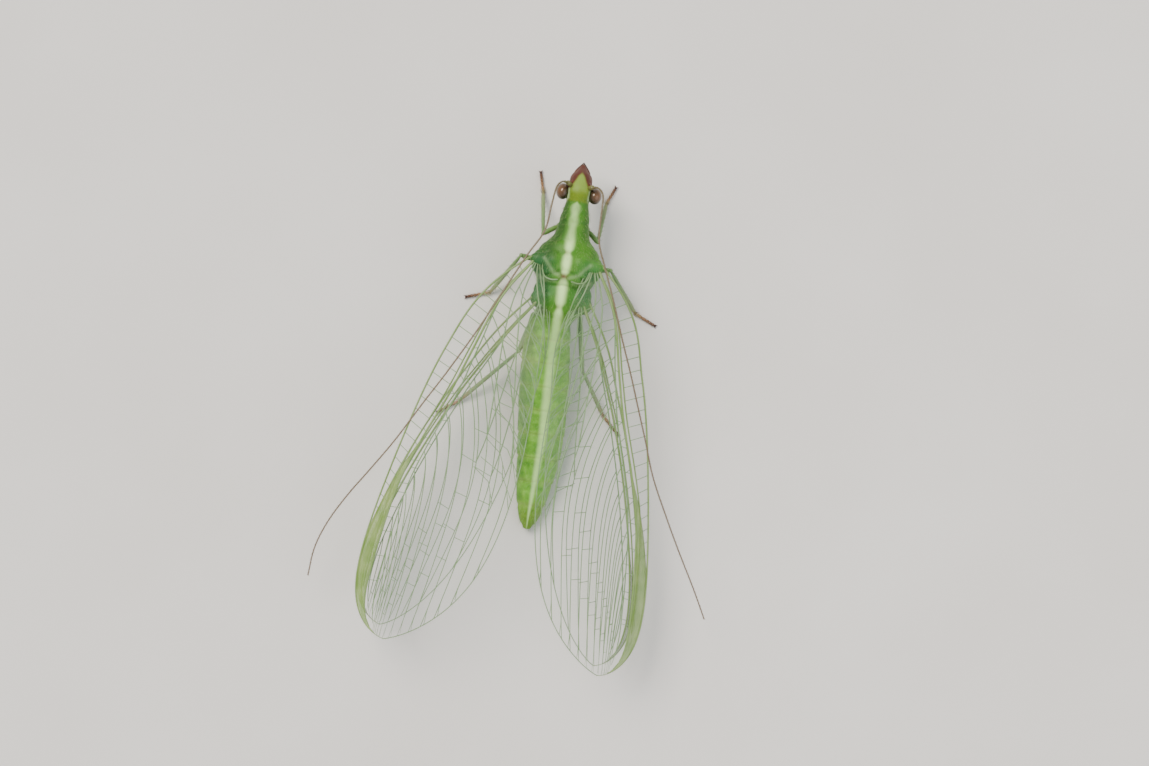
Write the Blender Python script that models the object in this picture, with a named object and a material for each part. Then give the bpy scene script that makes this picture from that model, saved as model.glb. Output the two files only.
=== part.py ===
"""A green lacewing at rest, life size, as a still museum model.

It stands on its six feet and on the tip of its abdomen, head towards +Y, with the wings
half open like a low roof and the long antennae swept back over them. Every length below is
in millimetres. The meshes are scaled to metres once, when a finished piece gets its name.
"""

import math

import bmesh
import bpy
from mathutils import Matrix, Vector
from mathutils.geometry import delaunay_2d_cdt

MM = 0.001
LEFT = -1
RIGHT = 1
SIDES = {"left": LEFT, "right": RIGHT}

# Room between one piece and the next, and the smaller one behind the little eyes
GAP = 0.25
EYE_GAP = 0.12

# Body stations, front to back: (y, z, half width, half height) of the section at each
HEAD_STATIONS = [
    (7.72, 1.42, 0.10, 0.10),
    (7.62, 1.50, 0.18, 0.17),
    (7.45, 1.62, 0.26, 0.25),
    (7.25, 1.76, 0.33, 0.35),
    (7.05, 1.88, 0.38, 0.43),
    (6.90, 1.94, 0.40, 0.44),
    (6.76, 1.96, 0.38, 0.38),
    (6.70, 1.96, 0.30, 0.30),
]
PROTHORAX_STATIONS = [
    (6.45, 1.94, 0.35, 0.34),
    (6.36, 1.93, 0.39, 0.39),
    (6.12, 1.91, 0.43, 0.43),
    (5.98, 1.89, 0.44, 0.43),
    (5.84, 1.88, 0.47, 0.46),
    (5.62, 1.85, 0.50, 0.50),
    (5.45, 1.83, 0.53, 0.52),
]
MESOTHORAX_STATIONS = [
    (5.20, 1.82, 0.72, 0.60),
    (5.08, 1.80, 0.82, 0.70),
    (4.85, 1.76, 0.91, 0.79),
    (4.55, 1.72, 0.95, 0.84),
    (4.28, 1.68, 0.90, 0.82),
    (4.10, 1.66, 0.84, 0.74),
]
METATHORAX_STATIONS = [
    (3.85, 1.64, 0.80, 0.72),
    (3.65, 1.62, 0.82, 0.74),
    (3.40, 1.59, 0.78, 0.70),
    (3.22, 1.57, 0.66, 0.62),
    (3.12, 1.56, 0.54, 0.54),
]

# The abdomen: its ends, its widest place, and its sway from the left in front to the right
ABDOMEN_FRONT_Y = 2.87
ABDOMEN_TIP_Y = -3.64
ABDOMEN_FRONT_Z = 1.54
ABDOMEN_TIP_Z = 0.20
ABDOMEN_HALF_WIDTH = 0.76
ABDOMEN_HALF_HEIGHT = 0.70
ABDOMEN_FRONT_X = -0.14
ABDOMEN_REAR_X = 0.085
ABDOMEN_SWAY_SHARE = 0.7
ABDOMEN_LEAST_HALF = 0.14
ABDOMEN_SEGMENTS = 9
SEGMENT_STEP = 0.035

# Rounded lumps of the body as (centre, radii), given on the right side where they come in pairs
EYE = ((0.51, 6.85, 1.98), (0.25, 0.25, 0.29))
VERTEX_LOBE = ((0.15, 6.94, 2.16), (0.22, 0.20, 0.26))
CLYPEUS = ((0, 7.38, 1.80), (0.20, 0.20, 0.14))
SHOULDER_LOBE = ((0.36, 4.74, 2.20), (0.44, 0.42, 0.42))
WING_PLATE = ((0.86, 4.66, 2.12), (0.26, 0.34, 0.26))
FRONT_SHIELD = ((0, 4.22, 2.30), (0.30, 0.22, 0.30))
REAR_LOBE = ((0.36, 3.58, 2.00), (0.38, 0.26, 0.34))
REAR_SHIELD = ((0, 3.34, 2.12), (0.24, 0.18, 0.20))

# Sockets of the antennae, mouthparts as (points, thicknesses), and the cut of the mouth line
SOCKET_CENTRE = (0.36, 7.06, 2.30)
SOCKET_HEIGHT = 0.25
SOCKET_BASE = 0.44
SOCKET_RIM = 0.40
LONG_PALP = (((0.12, 7.36, 1.50), (0.16, 7.54, 1.30), (0.15, 7.68, 1.12), (0.11, 7.80, 0.98)),
             (0.17, 0.15, 0.14, 0.08))
SHORT_PALP = (((0.07, 7.40, 1.42), (0.08, 7.54, 1.18), (0.06, 7.60, 1.00)), (0.14, 0.12, 0.07))
JAW = (((0.12, 7.46, 1.46), (0.12, 7.66, 1.34), (0.04, 7.77, 1.28)), (0.22, 0.17, 0.05))
MOUTH_LINE_CENTRE = (0, 7.72, 1.375)
MOUTH_LINE_SIZE = (0.60, 0.22, 0.03)

# Margins of a wing: the greatest reach from its line root to tip, then a power and a softness
# for the rounding towards the root, and the same for the rounding towards the tip
FORE_COSTAL = (1.90, 6.0, 1.0, 10.0, 0.5)
FORE_INNER = (2.72, 2.2, 0.9, 6.0, 0.85)
HIND_COSTAL = (1.80, 3.0, 1.0, 9.0, 0.5)
HIND_INNER = (1.85, 3.0, 0.7, 5.0, 0.8)
OUTLINE_SPANS = 20
WING_THICKNESS = 0.50
WING_TIP_THICKNESS = 0.32
WING_TIP_SHARE = 0.85
HIND_DROP = 0.95
FORE_LINES = {LEFT: ((-1.04, 4.72), (-3.74, -7.70)), RIGHT: ((0.96, 4.80), (3.00, -7.75))}
HIND_LINES = {LEFT: ((-0.72, 3.62), (-3.94, -7.30)), RIGHT: ((0.74, 3.66), (2.84, -7.48))}

# The roof that the four wings lie in: roll of each side, and heights along it
ROOF_ROLL = {LEFT: math.radians(23), RIGHT: math.radians(34)}
ROOF_ROOT_Z = 2.32
ROOF_AXIS_Z = 2.80
ROOF_TIP_DROP = 0.45
ROOF_RISE_SHARE = 0.28
ROOF_DROOP_SHARE = 0.60

# Ridges of the veins, and each vein as two ends of (share of length, -1 costal margin to 1 inner
# margin), its bow to one side and its spans. The veins of the hind wing start further out.
VEIN_HALF_WIDTH = 0.11
VEIN_HEIGHT = 0.13
UNDERSIDE_VEIN = 0.6
VEIN_FADE = 0.25
SUBCOSTA = ((0.05, -0.62), (0.86, -0.90), -0.06, 12)
RADIUS = ((0.05, -0.30), (0.965, -0.72), -0.26, 14)
SECTOR = ((0.16, -0.40), (0.93, -0.30), -0.16, 11)
MEDIA = ((0.09, 0.05), (0.80, 0.62), 0.02, 11)
CUBITUS = ((0.09, 0.36), (0.66, 0.84), 0.10, 9)
MAIN_VEINS = (SUBCOSTA, RADIUS, SECTOR, MEDIA, CUBITUS)
HIND_VEIN_START = 0.05
SECTOR_FORKS = {"fore": 8, "hind": 7}
INNER_FORKS = {"fore": 6, "hind": 5}

# Antennae: thickness, room over the wings, and the way each takes seen from above
ANTENNA_THICKNESS = 0.46
ANTENNA_TIP_THICKNESS = 0.20
ANTENNA_TAPER_START = 0.75
FIRST_JOINT_THICKNESS = 0.50
ANTENNA_OVER_WING = 0.92
ANTENNA_HEAD_ROUTE = {
    LEFT: [(-0.40, 7.20, 2.82), (-0.58, 7.36, 3.00), (-0.80, 7.24, 3.10), (-0.88, 6.88, 3.16),
           (-0.88, 6.35, 3.20), (-0.93, 5.55, 3.22)],
    RIGHT: [(0.40, 7.20, 2.82), (0.58, 7.38, 3.00), (0.80, 7.26, 3.10), (0.88, 6.90, 3.16),
            (0.86, 6.35, 3.20), (0.92, 5.55, 3.22)],
}
ANTENNA_WING_ROUTE = {
    LEFT: [(-1.28, 4.70), (-1.82, 3.50), (-2.40, 2.20), (-3.10, 0.80), (-3.72, -0.35), (-4.38, -1.60)],
    RIGHT: [(1.10, 4.80), (1.58, 3.80), (2.06, 2.63), (2.50, 1.60), (2.90, 0.60), (3.27, -0.32)],
}
ANTENNA_FREE_ROUTE = {
    LEFT: [(-5.00, -2.62, 2.45), (-5.58, -3.55, 2.05), (-6.04, -4.45, 1.70), (-6.31, -5.30, 1.40),
           (-6.38, -6.18, 1.15)],
    RIGHT: [(3.70, -1.42, 2.70), (4.28, -2.52, 2.35), (4.85, -3.53, 2.00), (5.50, -4.62, 1.62),
            (6.00, -5.52, 1.30)],
}

# Legs: thickness of each length, and the joints of each leg from the hip to the claws
HIP_THICKNESS = 0.55
THIGH_THICKNESS = 0.50
SHIN_THICKNESS = 0.46
HEEL_THICKNESS = 0.42
FOOT_THICKNESS = 0.40
TOE_THICKNESS = 0.22
FOOT_WAIST = 0.04
FOOT_Z = 0.17
FOOT_SEGMENTS = 5
LEG_JOINTS = {
    ("front", LEFT): [(-0.30, 5.80, 1.62), (-0.42, 5.84, 1.08), (-1.02, 5.48, 1.22),
                      (-1.11, 6.78, FOOT_Z), (-1.28, 7.36, FOOT_Z)],
    ("front", RIGHT): [(0.30, 5.80, 1.62), (0.42, 5.84, 1.08), (0.92, 5.50, 1.22),
                       (0.97, 6.74, FOOT_Z), (1.09, 7.26, FOOT_Z)],
    ("mid", LEFT): [(-0.42, 4.62, 1.30), (-0.55, 4.60, 0.72), (-1.46, 4.72, 1.34),
                    (-2.24, 3.44, FOOT_Z), (-2.94, 3.18, FOOT_Z)],
    ("mid", RIGHT): [(0.42, 4.62, 1.30), (0.55, 4.60, 0.72), (1.36, 4.70, 1.34),
                     (2.33, 3.52, FOOT_Z), (2.99, 3.24, FOOT_Z)],
    ("hind", LEFT): [(-0.42, 3.50, 1.30), (-0.58, 3.42, 0.66), (-1.04, 1.78, 0.98),
                     (-2.64, -0.06, FOOT_Z), (-3.24, -0.51, FOOT_Z)],
    ("hind", RIGHT): [(0.42, 3.50, 1.30), (0.58, 3.42, 0.66), (1.00, 1.50, 0.98),
                      (1.86, 0.21, FOOT_Z), (2.42, -0.30, FOOT_Z)],
}


def clear_scene():
    for thing in list(bpy.data.objects):
        bpy.data.objects.remove(thing, do_unlink=True)


def linear(channel):
    """One sRGB channel from 0 to 1, as linear light."""
    return channel / 12.92 if channel <= 0.04045 else ((channel + 0.055) / 1.055) ** 2.4


def material(name, colour, roughness):
    """A Principled material whose colour is given as sRGB hex."""
    made = bpy.data.materials.new(name)
    made.use_nodes = True
    shader = made.node_tree.nodes["Principled BSDF"]
    channels = [linear(int(colour[i : i + 2], 16) / 255) for i in (0, 2, 4)]
    shader.inputs["Base Color"].default_value = (*channels, 1)
    shader.inputs["Roughness"].default_value = roughness
    shader.inputs["Metallic"].default_value = 0
    return made


def smooth_step(share):
    """0 below 0, 1 above 1, and an even S between."""
    share = min(max(share, 0), 1)
    return share * share * (3 - 2 * share)


def smooth_line(stations, steps):
    """Points of a Catmull-Rom curve through the stations, with steps spans between each two."""
    stations = [Vector(s) for s in stations]
    before = stations[0] * 2 - stations[1]
    after = stations[-1] * 2 - stations[-2]
    held = [before, *stations, after]
    line = []
    for a, b, c, d in zip(held, held[1:], held[2:], held[3:]):
        for step in range(steps):
            t = step / steps
            line.append(
                0.5 * ((2 * b) + (c - a) * t + (2 * a - 5 * b + 4 * c - d) * t**2
                       + (3 * b - a - 3 * c + d) * t**3)
            )
    return [*line, stations[-1]]


def new_object(name, bm):
    """An object in the scene from a closed bmesh, its faces turned outwards."""
    bmesh.ops.recalc_face_normals(bm, faces=bm.faces)
    mesh = bpy.data.meshes.new(name)
    bm.to_mesh(mesh)
    bm.free()
    made = bpy.data.objects.new(name, mesh)
    bpy.context.scene.collection.objects.link(made)
    return made


def sweep(name, rings, sides):
    """A closed body through elliptical rings. A ring is (centre, half width, half height)."""
    bm = bmesh.new()
    loops = []
    across = (rings[1][0] - rings[0][0]).cross(Vector((0, 0, 1)))
    if across.length < 0.01:
        across = Vector((1, 0, 0))
    for index, (centre, half_width, half_height) in enumerate(rings):
        ahead = rings[min(index + 1, len(rings) - 1)][0]
        behind = rings[max(index - 1, 0)][0]
        along = (ahead - behind).normalized()
        across = (across - along * across.dot(along)).normalized()
        up = across.cross(along)
        axes = Matrix((across * half_width, up * half_height, along)).transposed().to_4x4()
        made = bmesh.ops.create_circle(
            bm, segments=sides, radius=1, matrix=Matrix.Translation(centre) @ axes
        )
        loops.append(made["verts"])
    for first, second in zip(loops, loops[1:]):
        ends = [e for loop in (first, second) for e in bm.edges if set(e.verts) <= set(loop)]
        bmesh.ops.bridge_loops(bm, edges=ends)
    for loop in (loops[0], loops[-1]):
        bm.faces.new(loop)
    return new_object(name, bm)


def trunk(name, stations, grow=0, sides=20, steps=2):
    """A body length along Y from stations of (y, z, half width, half height)."""
    line = smooth_line(stations, steps)
    rings = []
    for y, z, half_width, half_height in line:
        rings.append((Vector((0, y, z)), half_width + grow, half_height + grow))
    if grow:
        rings[0][0].y += grow
        rings[-1][0].y -= grow
    return sweep(name, rings, sides)


def ball(name, centre, radii, segments=10, rings=6):
    """An ellipsoid."""
    bm = bmesh.new()
    place = Matrix.Translation(centre) @ Matrix.Diagonal(radii).to_4x4()
    bmesh.ops.create_uvsphere(bm, u_segments=segments, v_segments=rings, radius=1, matrix=place)
    return new_object(name, bm)


def mirrored(point, side):
    """A point of the right side, on the side asked for."""
    return (point[0] * side, point[1], point[2])


def lump(name, shape, side=RIGHT, grow=0):
    """A rounded lump of the body, made a little larger where it cuts room for a neighbour."""
    centre, radii = shape
    return ball(name, mirrored(centre, side), [r + grow for r in radii], segments=14, rings=8)


def tube(name, points, thicknesses, sides=8, steps=2):
    """A round tube along a smooth line, its thickness given at each point."""
    stations = [(*point, thick / 2) for point, thick in zip(points, thicknesses)]
    rings = [(Vector(s[:3]), s[3], s[3]) for s in smooth_line(stations, steps)]
    return sweep(name, rings, sides)


def block(name, centre, size):
    """A box with its middle at the centre."""
    bm = bmesh.new()
    place = Matrix.Translation(centre) @ Matrix.Diagonal(size).to_4x4()
    bmesh.ops.create_cube(bm, size=1, matrix=place)
    return new_object(name, bm)


def boolean(target, others, operation):
    """Joins the other closed objects to the target, or cuts them from it, and removes them."""
    helpers = bpy.data.collections.new("helpers")
    bpy.context.scene.collection.children.link(helpers)
    for piece in others:
        bpy.context.scene.collection.objects.unlink(piece)
        helpers.objects.link(piece)
    modifier = target.modifiers.new(operation.title(), "BOOLEAN")
    modifier.operation = operation
    modifier.operand_type = "COLLECTION"
    modifier.collection = helpers
    modifier.solver = "EXACT"
    bpy.context.view_layer.update()
    graph = bpy.context.evaluated_depsgraph_get()
    result = bpy.data.meshes.new_from_object(target.evaluated_get(graph))
    target.modifiers.clear()
    target.data = result
    for piece in others:
        bpy.data.objects.remove(piece, do_unlink=True)
    bpy.data.collections.remove(helpers)
    return target


def keep_largest(obj):
    """Drops every closed surface but the one that holds the most room."""
    bm = bmesh.new()
    bm.from_mesh(obj.data)
    left = set(bm.verts)
    islands = []
    while left:
        island = {left.pop()}
        edge_of_it = list(island)
        while edge_of_it:
            vert = edge_of_it.pop()
            near = {edge.other_vert(vert) for edge in vert.link_edges} - island
            island |= near
            edge_of_it += near
        left -= island
        islands.append(island)

    def room(island):
        faces = {face for vert in island for face in vert.link_faces}
        return abs(
            sum(face.calc_area() * face.normal.dot(face.calc_center_median()) for face in faces)
        )

    largest = max(islands, key=room)
    for island in islands:
        if island is not largest:
            bmesh.ops.delete(bm, geom=list(island), context="VERTS")
    bm.to_mesh(obj.data)
    bm.free()


def rest_on_floor(obj):
    """Flattens whatever would reach below the floor, so that it rests on a small flat."""
    for vert in obj.data.vertices:
        vert.co.z = max(vert.co.z, 0)


def finish(obj, finish_material, parts):
    """Scales a finished piece to metres and puts it among the parts."""
    keep_largest(obj)
    rest_on_floor(obj)
    obj.data.transform(Matrix.Scale(MM, 4))
    obj.data.materials.clear()
    obj.data.materials.append(finish_material)
    obj.data.shade_smooth()
    obj.data.set_sharp_from_angle(angle=math.radians(40))
    bpy.context.scene.collection.objects.unlink(obj)
    parts.objects.link(obj)


def head_pieces(grow=0):
    """The skull, with the raised vertex between the eyes and the bulging clypeus."""
    skull = trunk("skull", HEAD_STATIONS, grow, sides=18)
    lobes = [lump(f"vertex_{side}", VERTEX_LOBE, side, grow) for side in SIDES.values()]
    return [skull, *lobes, lump("clypeus", CLYPEUS, grow=grow)]


def make_head(parts):
    """Head with antennal sockets, jaws, mouth line and two pairs of palps."""
    skull, *others = head_pieces()
    for side in SIDES.values():
        x, y, z = mirrored(SOCKET_CENTRE, side)
        others.append(tube(f"socket_{side}", [(x, y - 0.04, z - SOCKET_HEIGHT), (x, y, z)],
                           [SOCKET_BASE, SOCKET_RIM], sides=12))
        for label, sides, (points, thicknesses) in (
            ("long_palp", 6, LONG_PALP), ("short_palp", 6, SHORT_PALP), ("jaw", 8, JAW),
        ):
            line = [mirrored(point, side) for point in points]
            others.append(tube(f"{label}_{side}", line, thicknesses, sides))
    head = boolean(skull, others, "UNION")
    boolean(head, [block("mouth_line", MOUTH_LINE_CENTRE, MOUTH_LINE_SIZE)], "DIFFERENCE")
    head.name = "head"
    finish(head, material("olive_green_head", "93A83A", 0.45), parts)


def make_eyes(parts):
    """Two round eyes, each cut clear of the skull that it sits against."""
    golden_brown = material("brown_eye", "8A6040", 0.25)
    for label, side in SIDES.items():
        eye = lump(f"eye_{label}", EYE, side)
        boolean(eye, head_pieces(EYE_GAP), "DIFFERENCE")
        finish(eye, golden_brown, parts)


def make_prothorax(parts):
    """The plain collar that carries the front legs."""
    prothorax = trunk("prothorax", PROTHORAX_STATIONS)
    finish(prothorax, material("thorax_green", "5C8F33", 0.5), parts)


def mesothorax_pieces(grow=0):
    """The front winged segment: two shoulder lobes, a shield and a plate at each wing root."""
    pieces = [trunk("mesothorax", MESOTHORAX_STATIONS, grow, sides=18),
              lump("front_shield", FRONT_SHIELD, grow=grow)]
    for side in SIDES.values():
        pieces.append(lump(f"shoulder_lobe_{side}", SHOULDER_LOBE, side, grow))
        pieces.append(lump(f"wing_plate_{side}", WING_PLATE, side, grow))
    return pieces


def metathorax_pieces(grow=0):
    """The rear winged segment: two lower lobes and a small shield."""
    pieces = [trunk("metathorax", METATHORAX_STATIONS, grow, sides=18),
              lump("rear_shield", REAR_SHIELD, grow=grow)]
    for side in SIDES.values():
        pieces.append(lump(f"rear_lobe_{side}", REAR_LOBE, side, grow))
    return pieces


def make_thorax(parts):
    """The two winged segments behind the prothorax."""
    green = material("wing_base_green", "639A3C", 0.5)
    for pieces in (mesothorax_pieces(), metathorax_pieces()):
        core, *others = pieces
        boolean(core, others, "UNION")
        finish(core, green, parts)


def abdomen_rings(grow=0):
    """Nine ringed segments that swell to the middle and taper to a blunt tip on the floor."""
    spans_each = 3
    count = ABDOMEN_SEGMENTS * spans_each
    rings = []
    for index in range(count + 1):
        t = index / count
        y = ABDOMEN_FRONT_Y + (ABDOMEN_TIP_Y - ABDOMEN_FRONT_Y) * t
        z = ABDOMEN_FRONT_Z + (ABDOMEN_TIP_Z - ABDOMEN_FRONT_Z) * t
        sway = smooth_step(t / ABDOMEN_SWAY_SHARE)
        x = ABDOMEN_FRONT_X + (ABDOMEN_REAR_X - ABDOMEN_FRONT_X) * sway
        swell = (0.78 + 0.22 * math.sin(math.pi * min(t / 0.9, 1) ** 0.9)) * (1 - t**5) ** 0.5
        collar = SEGMENT_STEP if index % spans_each == 0 else 0
        half_width = max(ABDOMEN_HALF_WIDTH * swell, ABDOMEN_LEAST_HALF) - collar
        half_height = max(ABDOMEN_HALF_HEIGHT * swell, ABDOMEN_LEAST_HALF) - collar
        rings.append((Vector((x, y, z)), half_width + grow, half_height + grow))
    if grow:
        rings[0][0].y += grow
        rings[-1][0].y -= grow
    return rings


def make_abdomen(parts):
    """The abdomen is one closed body whose narrow collars part its segments."""
    abdomen = sweep("abdomen", abdomen_rings(), sides=18)
    finish(abdomen, material("abdomen_green", "6FA83C", 0.45), parts)


def roof_height(side, x, y):
    """Middle height of the fore wing over the plan point (x, y) on its own side."""
    (root_x, root_y), (tip_x, tip_y) = FORE_LINES[side]
    root = Vector((root_x, root_y))
    length = (Vector((tip_x, tip_y)) - root).length
    along = (Vector((tip_x, tip_y)) - root) / length
    inward = Vector((along.y, -along.x)) * side
    away = Vector((x, y)) - root
    share = away.dot(along) / length
    rise = smooth_step(share / ROOF_RISE_SHARE)
    droop = ROOF_TIP_DROP * max(share - ROOF_DROOP_SHARE, 0) ** 2 / (1 - ROOF_DROOP_SHARE) ** 2
    axis = ROOF_ROOT_Z + (ROOF_AXIS_Z - ROOF_ROOT_Z) * rise - droop
    return axis + away.dot(inward) * math.tan(ROOF_ROLL[side] * rise)


def margin(share, shape):
    """How far a margin lies from the line root to tip, at this share of the length."""
    reach, root_power, root_softness, tip_power, tip_softness = shape
    share = min(max(share, 0), 1)
    root_part = (1 - (1 - share) ** root_power) ** root_softness
    return reach * root_part * (1 - share**tip_power) ** tip_softness


class Wing:
    """One wing, drawn flat as (share of length, -1 costal margin to 1 inner margin)."""

    def __init__(self, side, line, costal, inner, drop):
        self.side = side
        self.root, tip = (Vector(end) for end in line)
        self.length = (tip - self.root).length
        self.along = (tip - self.root) / self.length
        self.inward = Vector((self.along.y, -self.along.x)) * side
        self.costal = costal
        self.inner = inner
        self.drop = drop

    def flat(self, share, across):
        """A point of the flat wing, in millimetres from its root."""
        reach = margin(share, self.costal if across < 0 else self.inner)
        return Vector((share * self.length, across * reach))

    def place(self, flat, offset):
        """Lays a point of the flat wing in the roof, offset upwards."""
        share = flat.x / self.length
        narrowing = math.cos(ROOF_ROLL[self.side] * smooth_step(share / ROOF_RISE_SHARE))
        plan = self.root + self.along * flat.x + self.inward * flat.y * narrowing
        z = roof_height(self.side, plan.x, plan.y) - self.drop + offset
        return Vector((plan.x, plan.y, z))

    def outline(self):
        """The margins as one loop, closer spaced where they round the tip."""
        spans = range(OUTLINE_SPANS + 1)
        shares = [0.5 - 0.5 * math.cos(math.pi * span / OUTLINE_SPANS) for span in spans]
        costal = [self.flat(share, -1) for share in shares]
        inner = [self.flat(share, 1) for share in reversed(shares[1:-1])]
        return costal + inner


def vein_line(start, end, bow, spans):
    """A vein from start to end, bowed to one side."""
    line = []
    for index in range(spans + 1):
        t = index / spans
        share = start[0] + (end[0] - start[0]) * t
        across = start[1] + (end[1] - start[1]) * t + bow * math.sin(math.pi * t)
        line.append((share, across))
    return line


def wing_veins(pair):
    """The main veins, the forks of the sector and the short forks to the inner margin."""
    veins = []
    for start, end, bow, spans in MAIN_VEINS:
        if pair == "hind":
            start = (start[0] + HIND_VEIN_START, start[1])
        veins.append(vein_line(start, end, bow, spans))
    for index in range(SECTOR_FORKS[pair]):
        t = index / (SECTOR_FORKS[pair] - 1)
        start = (0.40 + 0.42 * t, -0.50 + 0.14 * t)
        end = (0.70 + 0.27 * t, 0.94 - 0.62 * t)
        veins.append(vein_line(start, end, 0.05, 5))
    for index in range(INNER_FORKS[pair]):
        t = index / (INNER_FORKS[pair] - 1)
        start = (0.12 + 0.44 * t, 0.38 + 0.24 * t)
        veins.append(vein_line(start, (start[0] + 0.11, 0.97), 0, 2))
    return veins


def ridge_height(point, lines):
    """Height of the veins' ridges at a point of the flat wing. A vein fades out at its ends."""
    highest = 0
    for line in lines:
        nearest = VEIN_HALF_WIDTH
        for a, b in zip(line, line[1:]):
            span = b - a
            t = min(max((point - a).dot(span) / span.length_squared, 0), 1)
            nearest = min(nearest, (point - a - span * t).length)
        from_end = min((point - line[0]).length, (point - line[-1]).length)
        fade = min(from_end / VEIN_FADE, 1)
        highest = max(highest, VEIN_HEIGHT * fade * (1 - nearest / VEIN_HALF_WIDTH))
    return highest


def wing_triangles(outline, lines):
    """The flat wing cut into triangles along its outline and both sides of every vein."""
    points = [point.copy() for point in outline]
    edges = [(i, (i + 1) % len(outline)) for i in range(len(outline))]
    for line in lines:
        for offset in (-1, 0, 1):
            first = len(points)
            inside = line if offset == 0 else line[1:-1]
            for index, point in enumerate(inside, start=0 if offset == 0 else 1):
                ahead = line[min(index + 1, len(line) - 1)] - line[max(index - 1, 0)]
                across = Vector((-ahead.y, ahead.x)).normalized()
                points.append(point + across * VEIN_HALF_WIDTH * offset)
            edges += [(i, i + 1) for i in range(first, len(points) - 1)]
    whole = list(range(len(outline)))
    only_inside = 1
    flat_points, _, triangles, *_ = delaunay_2d_cdt(points, edges, [whole], only_inside, 1e-4)
    return flat_points, triangles


def make_wing(name, wing, veins, finish_material, roots, parts):
    """A wing whose veins are ridges in its own surface, its triangles alike on both faces."""
    lines = [[wing.flat(share, across) for share, across in vein] for vein in veins]
    flat_points, triangles = wing_triangles(wing.outline(), lines)
    bm = bmesh.new()
    upper, lower = [], []
    for point in flat_points:
        thin = max(point.x / wing.length - WING_TIP_SHARE, 0) / (1 - WING_TIP_SHARE)
        half = (WING_THICKNESS + (WING_TIP_THICKNESS - WING_THICKNESS) * thin) / 2
        high = ridge_height(point, lines)
        upper.append(bm.verts.new(wing.place(point, half + high)))
        lower.append(bm.verts.new(wing.place(point, -half - high * UNDERSIDE_VEIN)))
    for triangle in triangles:
        for face in (upper, lower):
            bm.faces.new([face[corner] for corner in triangle])
    lower_of = dict(zip(upper, lower))
    for rim in [edge for edge in bm.edges if edge.is_boundary and edge.verts[0] in lower_of]:
        a, b = rim.verts
        bm.faces.new([a, b, lower_of[b], lower_of[a]])
    made = new_object(name, bm)
    boolean(made, roots, "DIFFERENCE")
    finish(made, finish_material, parts)


def make_wings(parts):
    """Four wings, each cut clear of the body at its root."""
    clear_green = material("wing_membrane_green", "9BB58A", 0.3)
    for label, side in SIDES.items():
        fore = Wing(side, FORE_LINES[side], FORE_COSTAL, FORE_INNER, 0)
        roots = mesothorax_pieces(GAP) + metathorax_pieces(GAP)
        make_wing(f"forewing_{label}", fore, wing_veins("fore"), clear_green, roots, parts)
        hind = Wing(side, HIND_LINES[side], HIND_COSTAL, HIND_INNER, HIND_DROP)
        roots = mesothorax_pieces(GAP) + metathorax_pieces(GAP)
        roots.append(sweep("abdomen_room", abdomen_rings(GAP), sides=18))
        make_wing(f"hindwing_{label}", hind, wing_veins("hind"), clear_green, roots, parts)


def make_antennae(parts):
    """Long thread-like antennae, each on a stout first joint over the socket of the head."""
    brown = material("antenna_brown", "8C7560", 0.6)
    for label, side in SIDES.items():
        x, y, z = mirrored(SOCKET_CENTRE, side)
        points = list(ANTENNA_HEAD_ROUTE[side])
        for plan_x, plan_y in ANTENNA_WING_ROUTE[side]:
            points.append((plan_x, plan_y, roof_height(side, plan_x, plan_y) + ANTENNA_OVER_WING))
        points += ANTENNA_FREE_ROUTE[side]
        thicknesses = []
        for index in range(len(points)):
            share = index / (len(points) - 1)
            taper = smooth_step((share - ANTENNA_TAPER_START) / (1 - ANTENNA_TAPER_START))
            thicknesses.append(
                ANTENNA_THICKNESS + (ANTENNA_TIP_THICKNESS - ANTENNA_THICKNESS) * taper
            )
        antenna = tube(f"antenna_{label}", points, thicknesses)
        first_joint = tube("first_joint", [(x, y + 0.01, z + GAP), points[0]],
                           [SOCKET_RIM, FIRST_JOINT_THICKNESS])
        bend = ball("bend", points[0], [FIRST_JOINT_THICKNESS / 2] * 3)
        boolean(antenna, [first_joint, bend], "UNION")
        finish(antenna, brown, parts)


def foot_of(heel, claws):
    """A foot of five joints with narrow waists between them."""
    points, thicknesses = [], []
    for index in range(FOOT_SEGMENTS * 2 + 1):
        t = index / (FOOT_SEGMENTS * 2)
        points.append(heel.lerp(claws, t))
        waist = FOOT_WAIST if index % 2 == 0 else 0
        thicknesses.append(FOOT_THICKNESS + (TOE_THICKNESS - FOOT_THICKNESS) * t - waist)
    return tube("foot", points, thicknesses, steps=1)


def make_legs(parts):
    """Six walking legs: hip, thigh, shin and a jointed foot that lies on the floor."""
    pale_green = material("leg_green", "8FB35A", 0.5)
    bodies = {
        "front": lambda: [trunk("room", PROTHORAX_STATIONS, GAP)],
        "mid": lambda: mesothorax_pieces(GAP),
        "hind": lambda: metathorax_pieces(GAP),
    }
    for (place, side), joints in LEG_JOINTS.items():
        hip, thigh, knee, heel, claws = (Vector(joint) for joint in joints)
        label = "left" if side == LEFT else "right"
        leg = tube(f"leg_{place}_{label}", [hip, thigh], [HIP_THICKNESS, THIGH_THICKNESS])
        belly = thigh.lerp(knee, 0.4)
        ankle = knee.lerp(heel, 0.85)
        others = [
            tube("thigh", [thigh, belly, knee], [SHIN_THICKNESS, THIGH_THICKNESS, SHIN_THICKNESS]),
            tube("shin", [knee, ankle, heel], [SHIN_THICKNESS, SHIN_THICKNESS, HEEL_THICKNESS]),
            ball("thigh_joint", thigh, [THIGH_THICKNESS * 0.52] * 3),
            ball("knee_joint", knee, [THIGH_THICKNESS * 0.51] * 3),
            ball("heel_joint", heel, [HEEL_THICKNESS * 0.52] * 3),
            foot_of(heel, claws),
        ]
        boolean(leg, others, "UNION")
        boolean(leg, bodies[place](), "DIFFERENCE")
        finish(leg, pale_green, parts)


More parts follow.
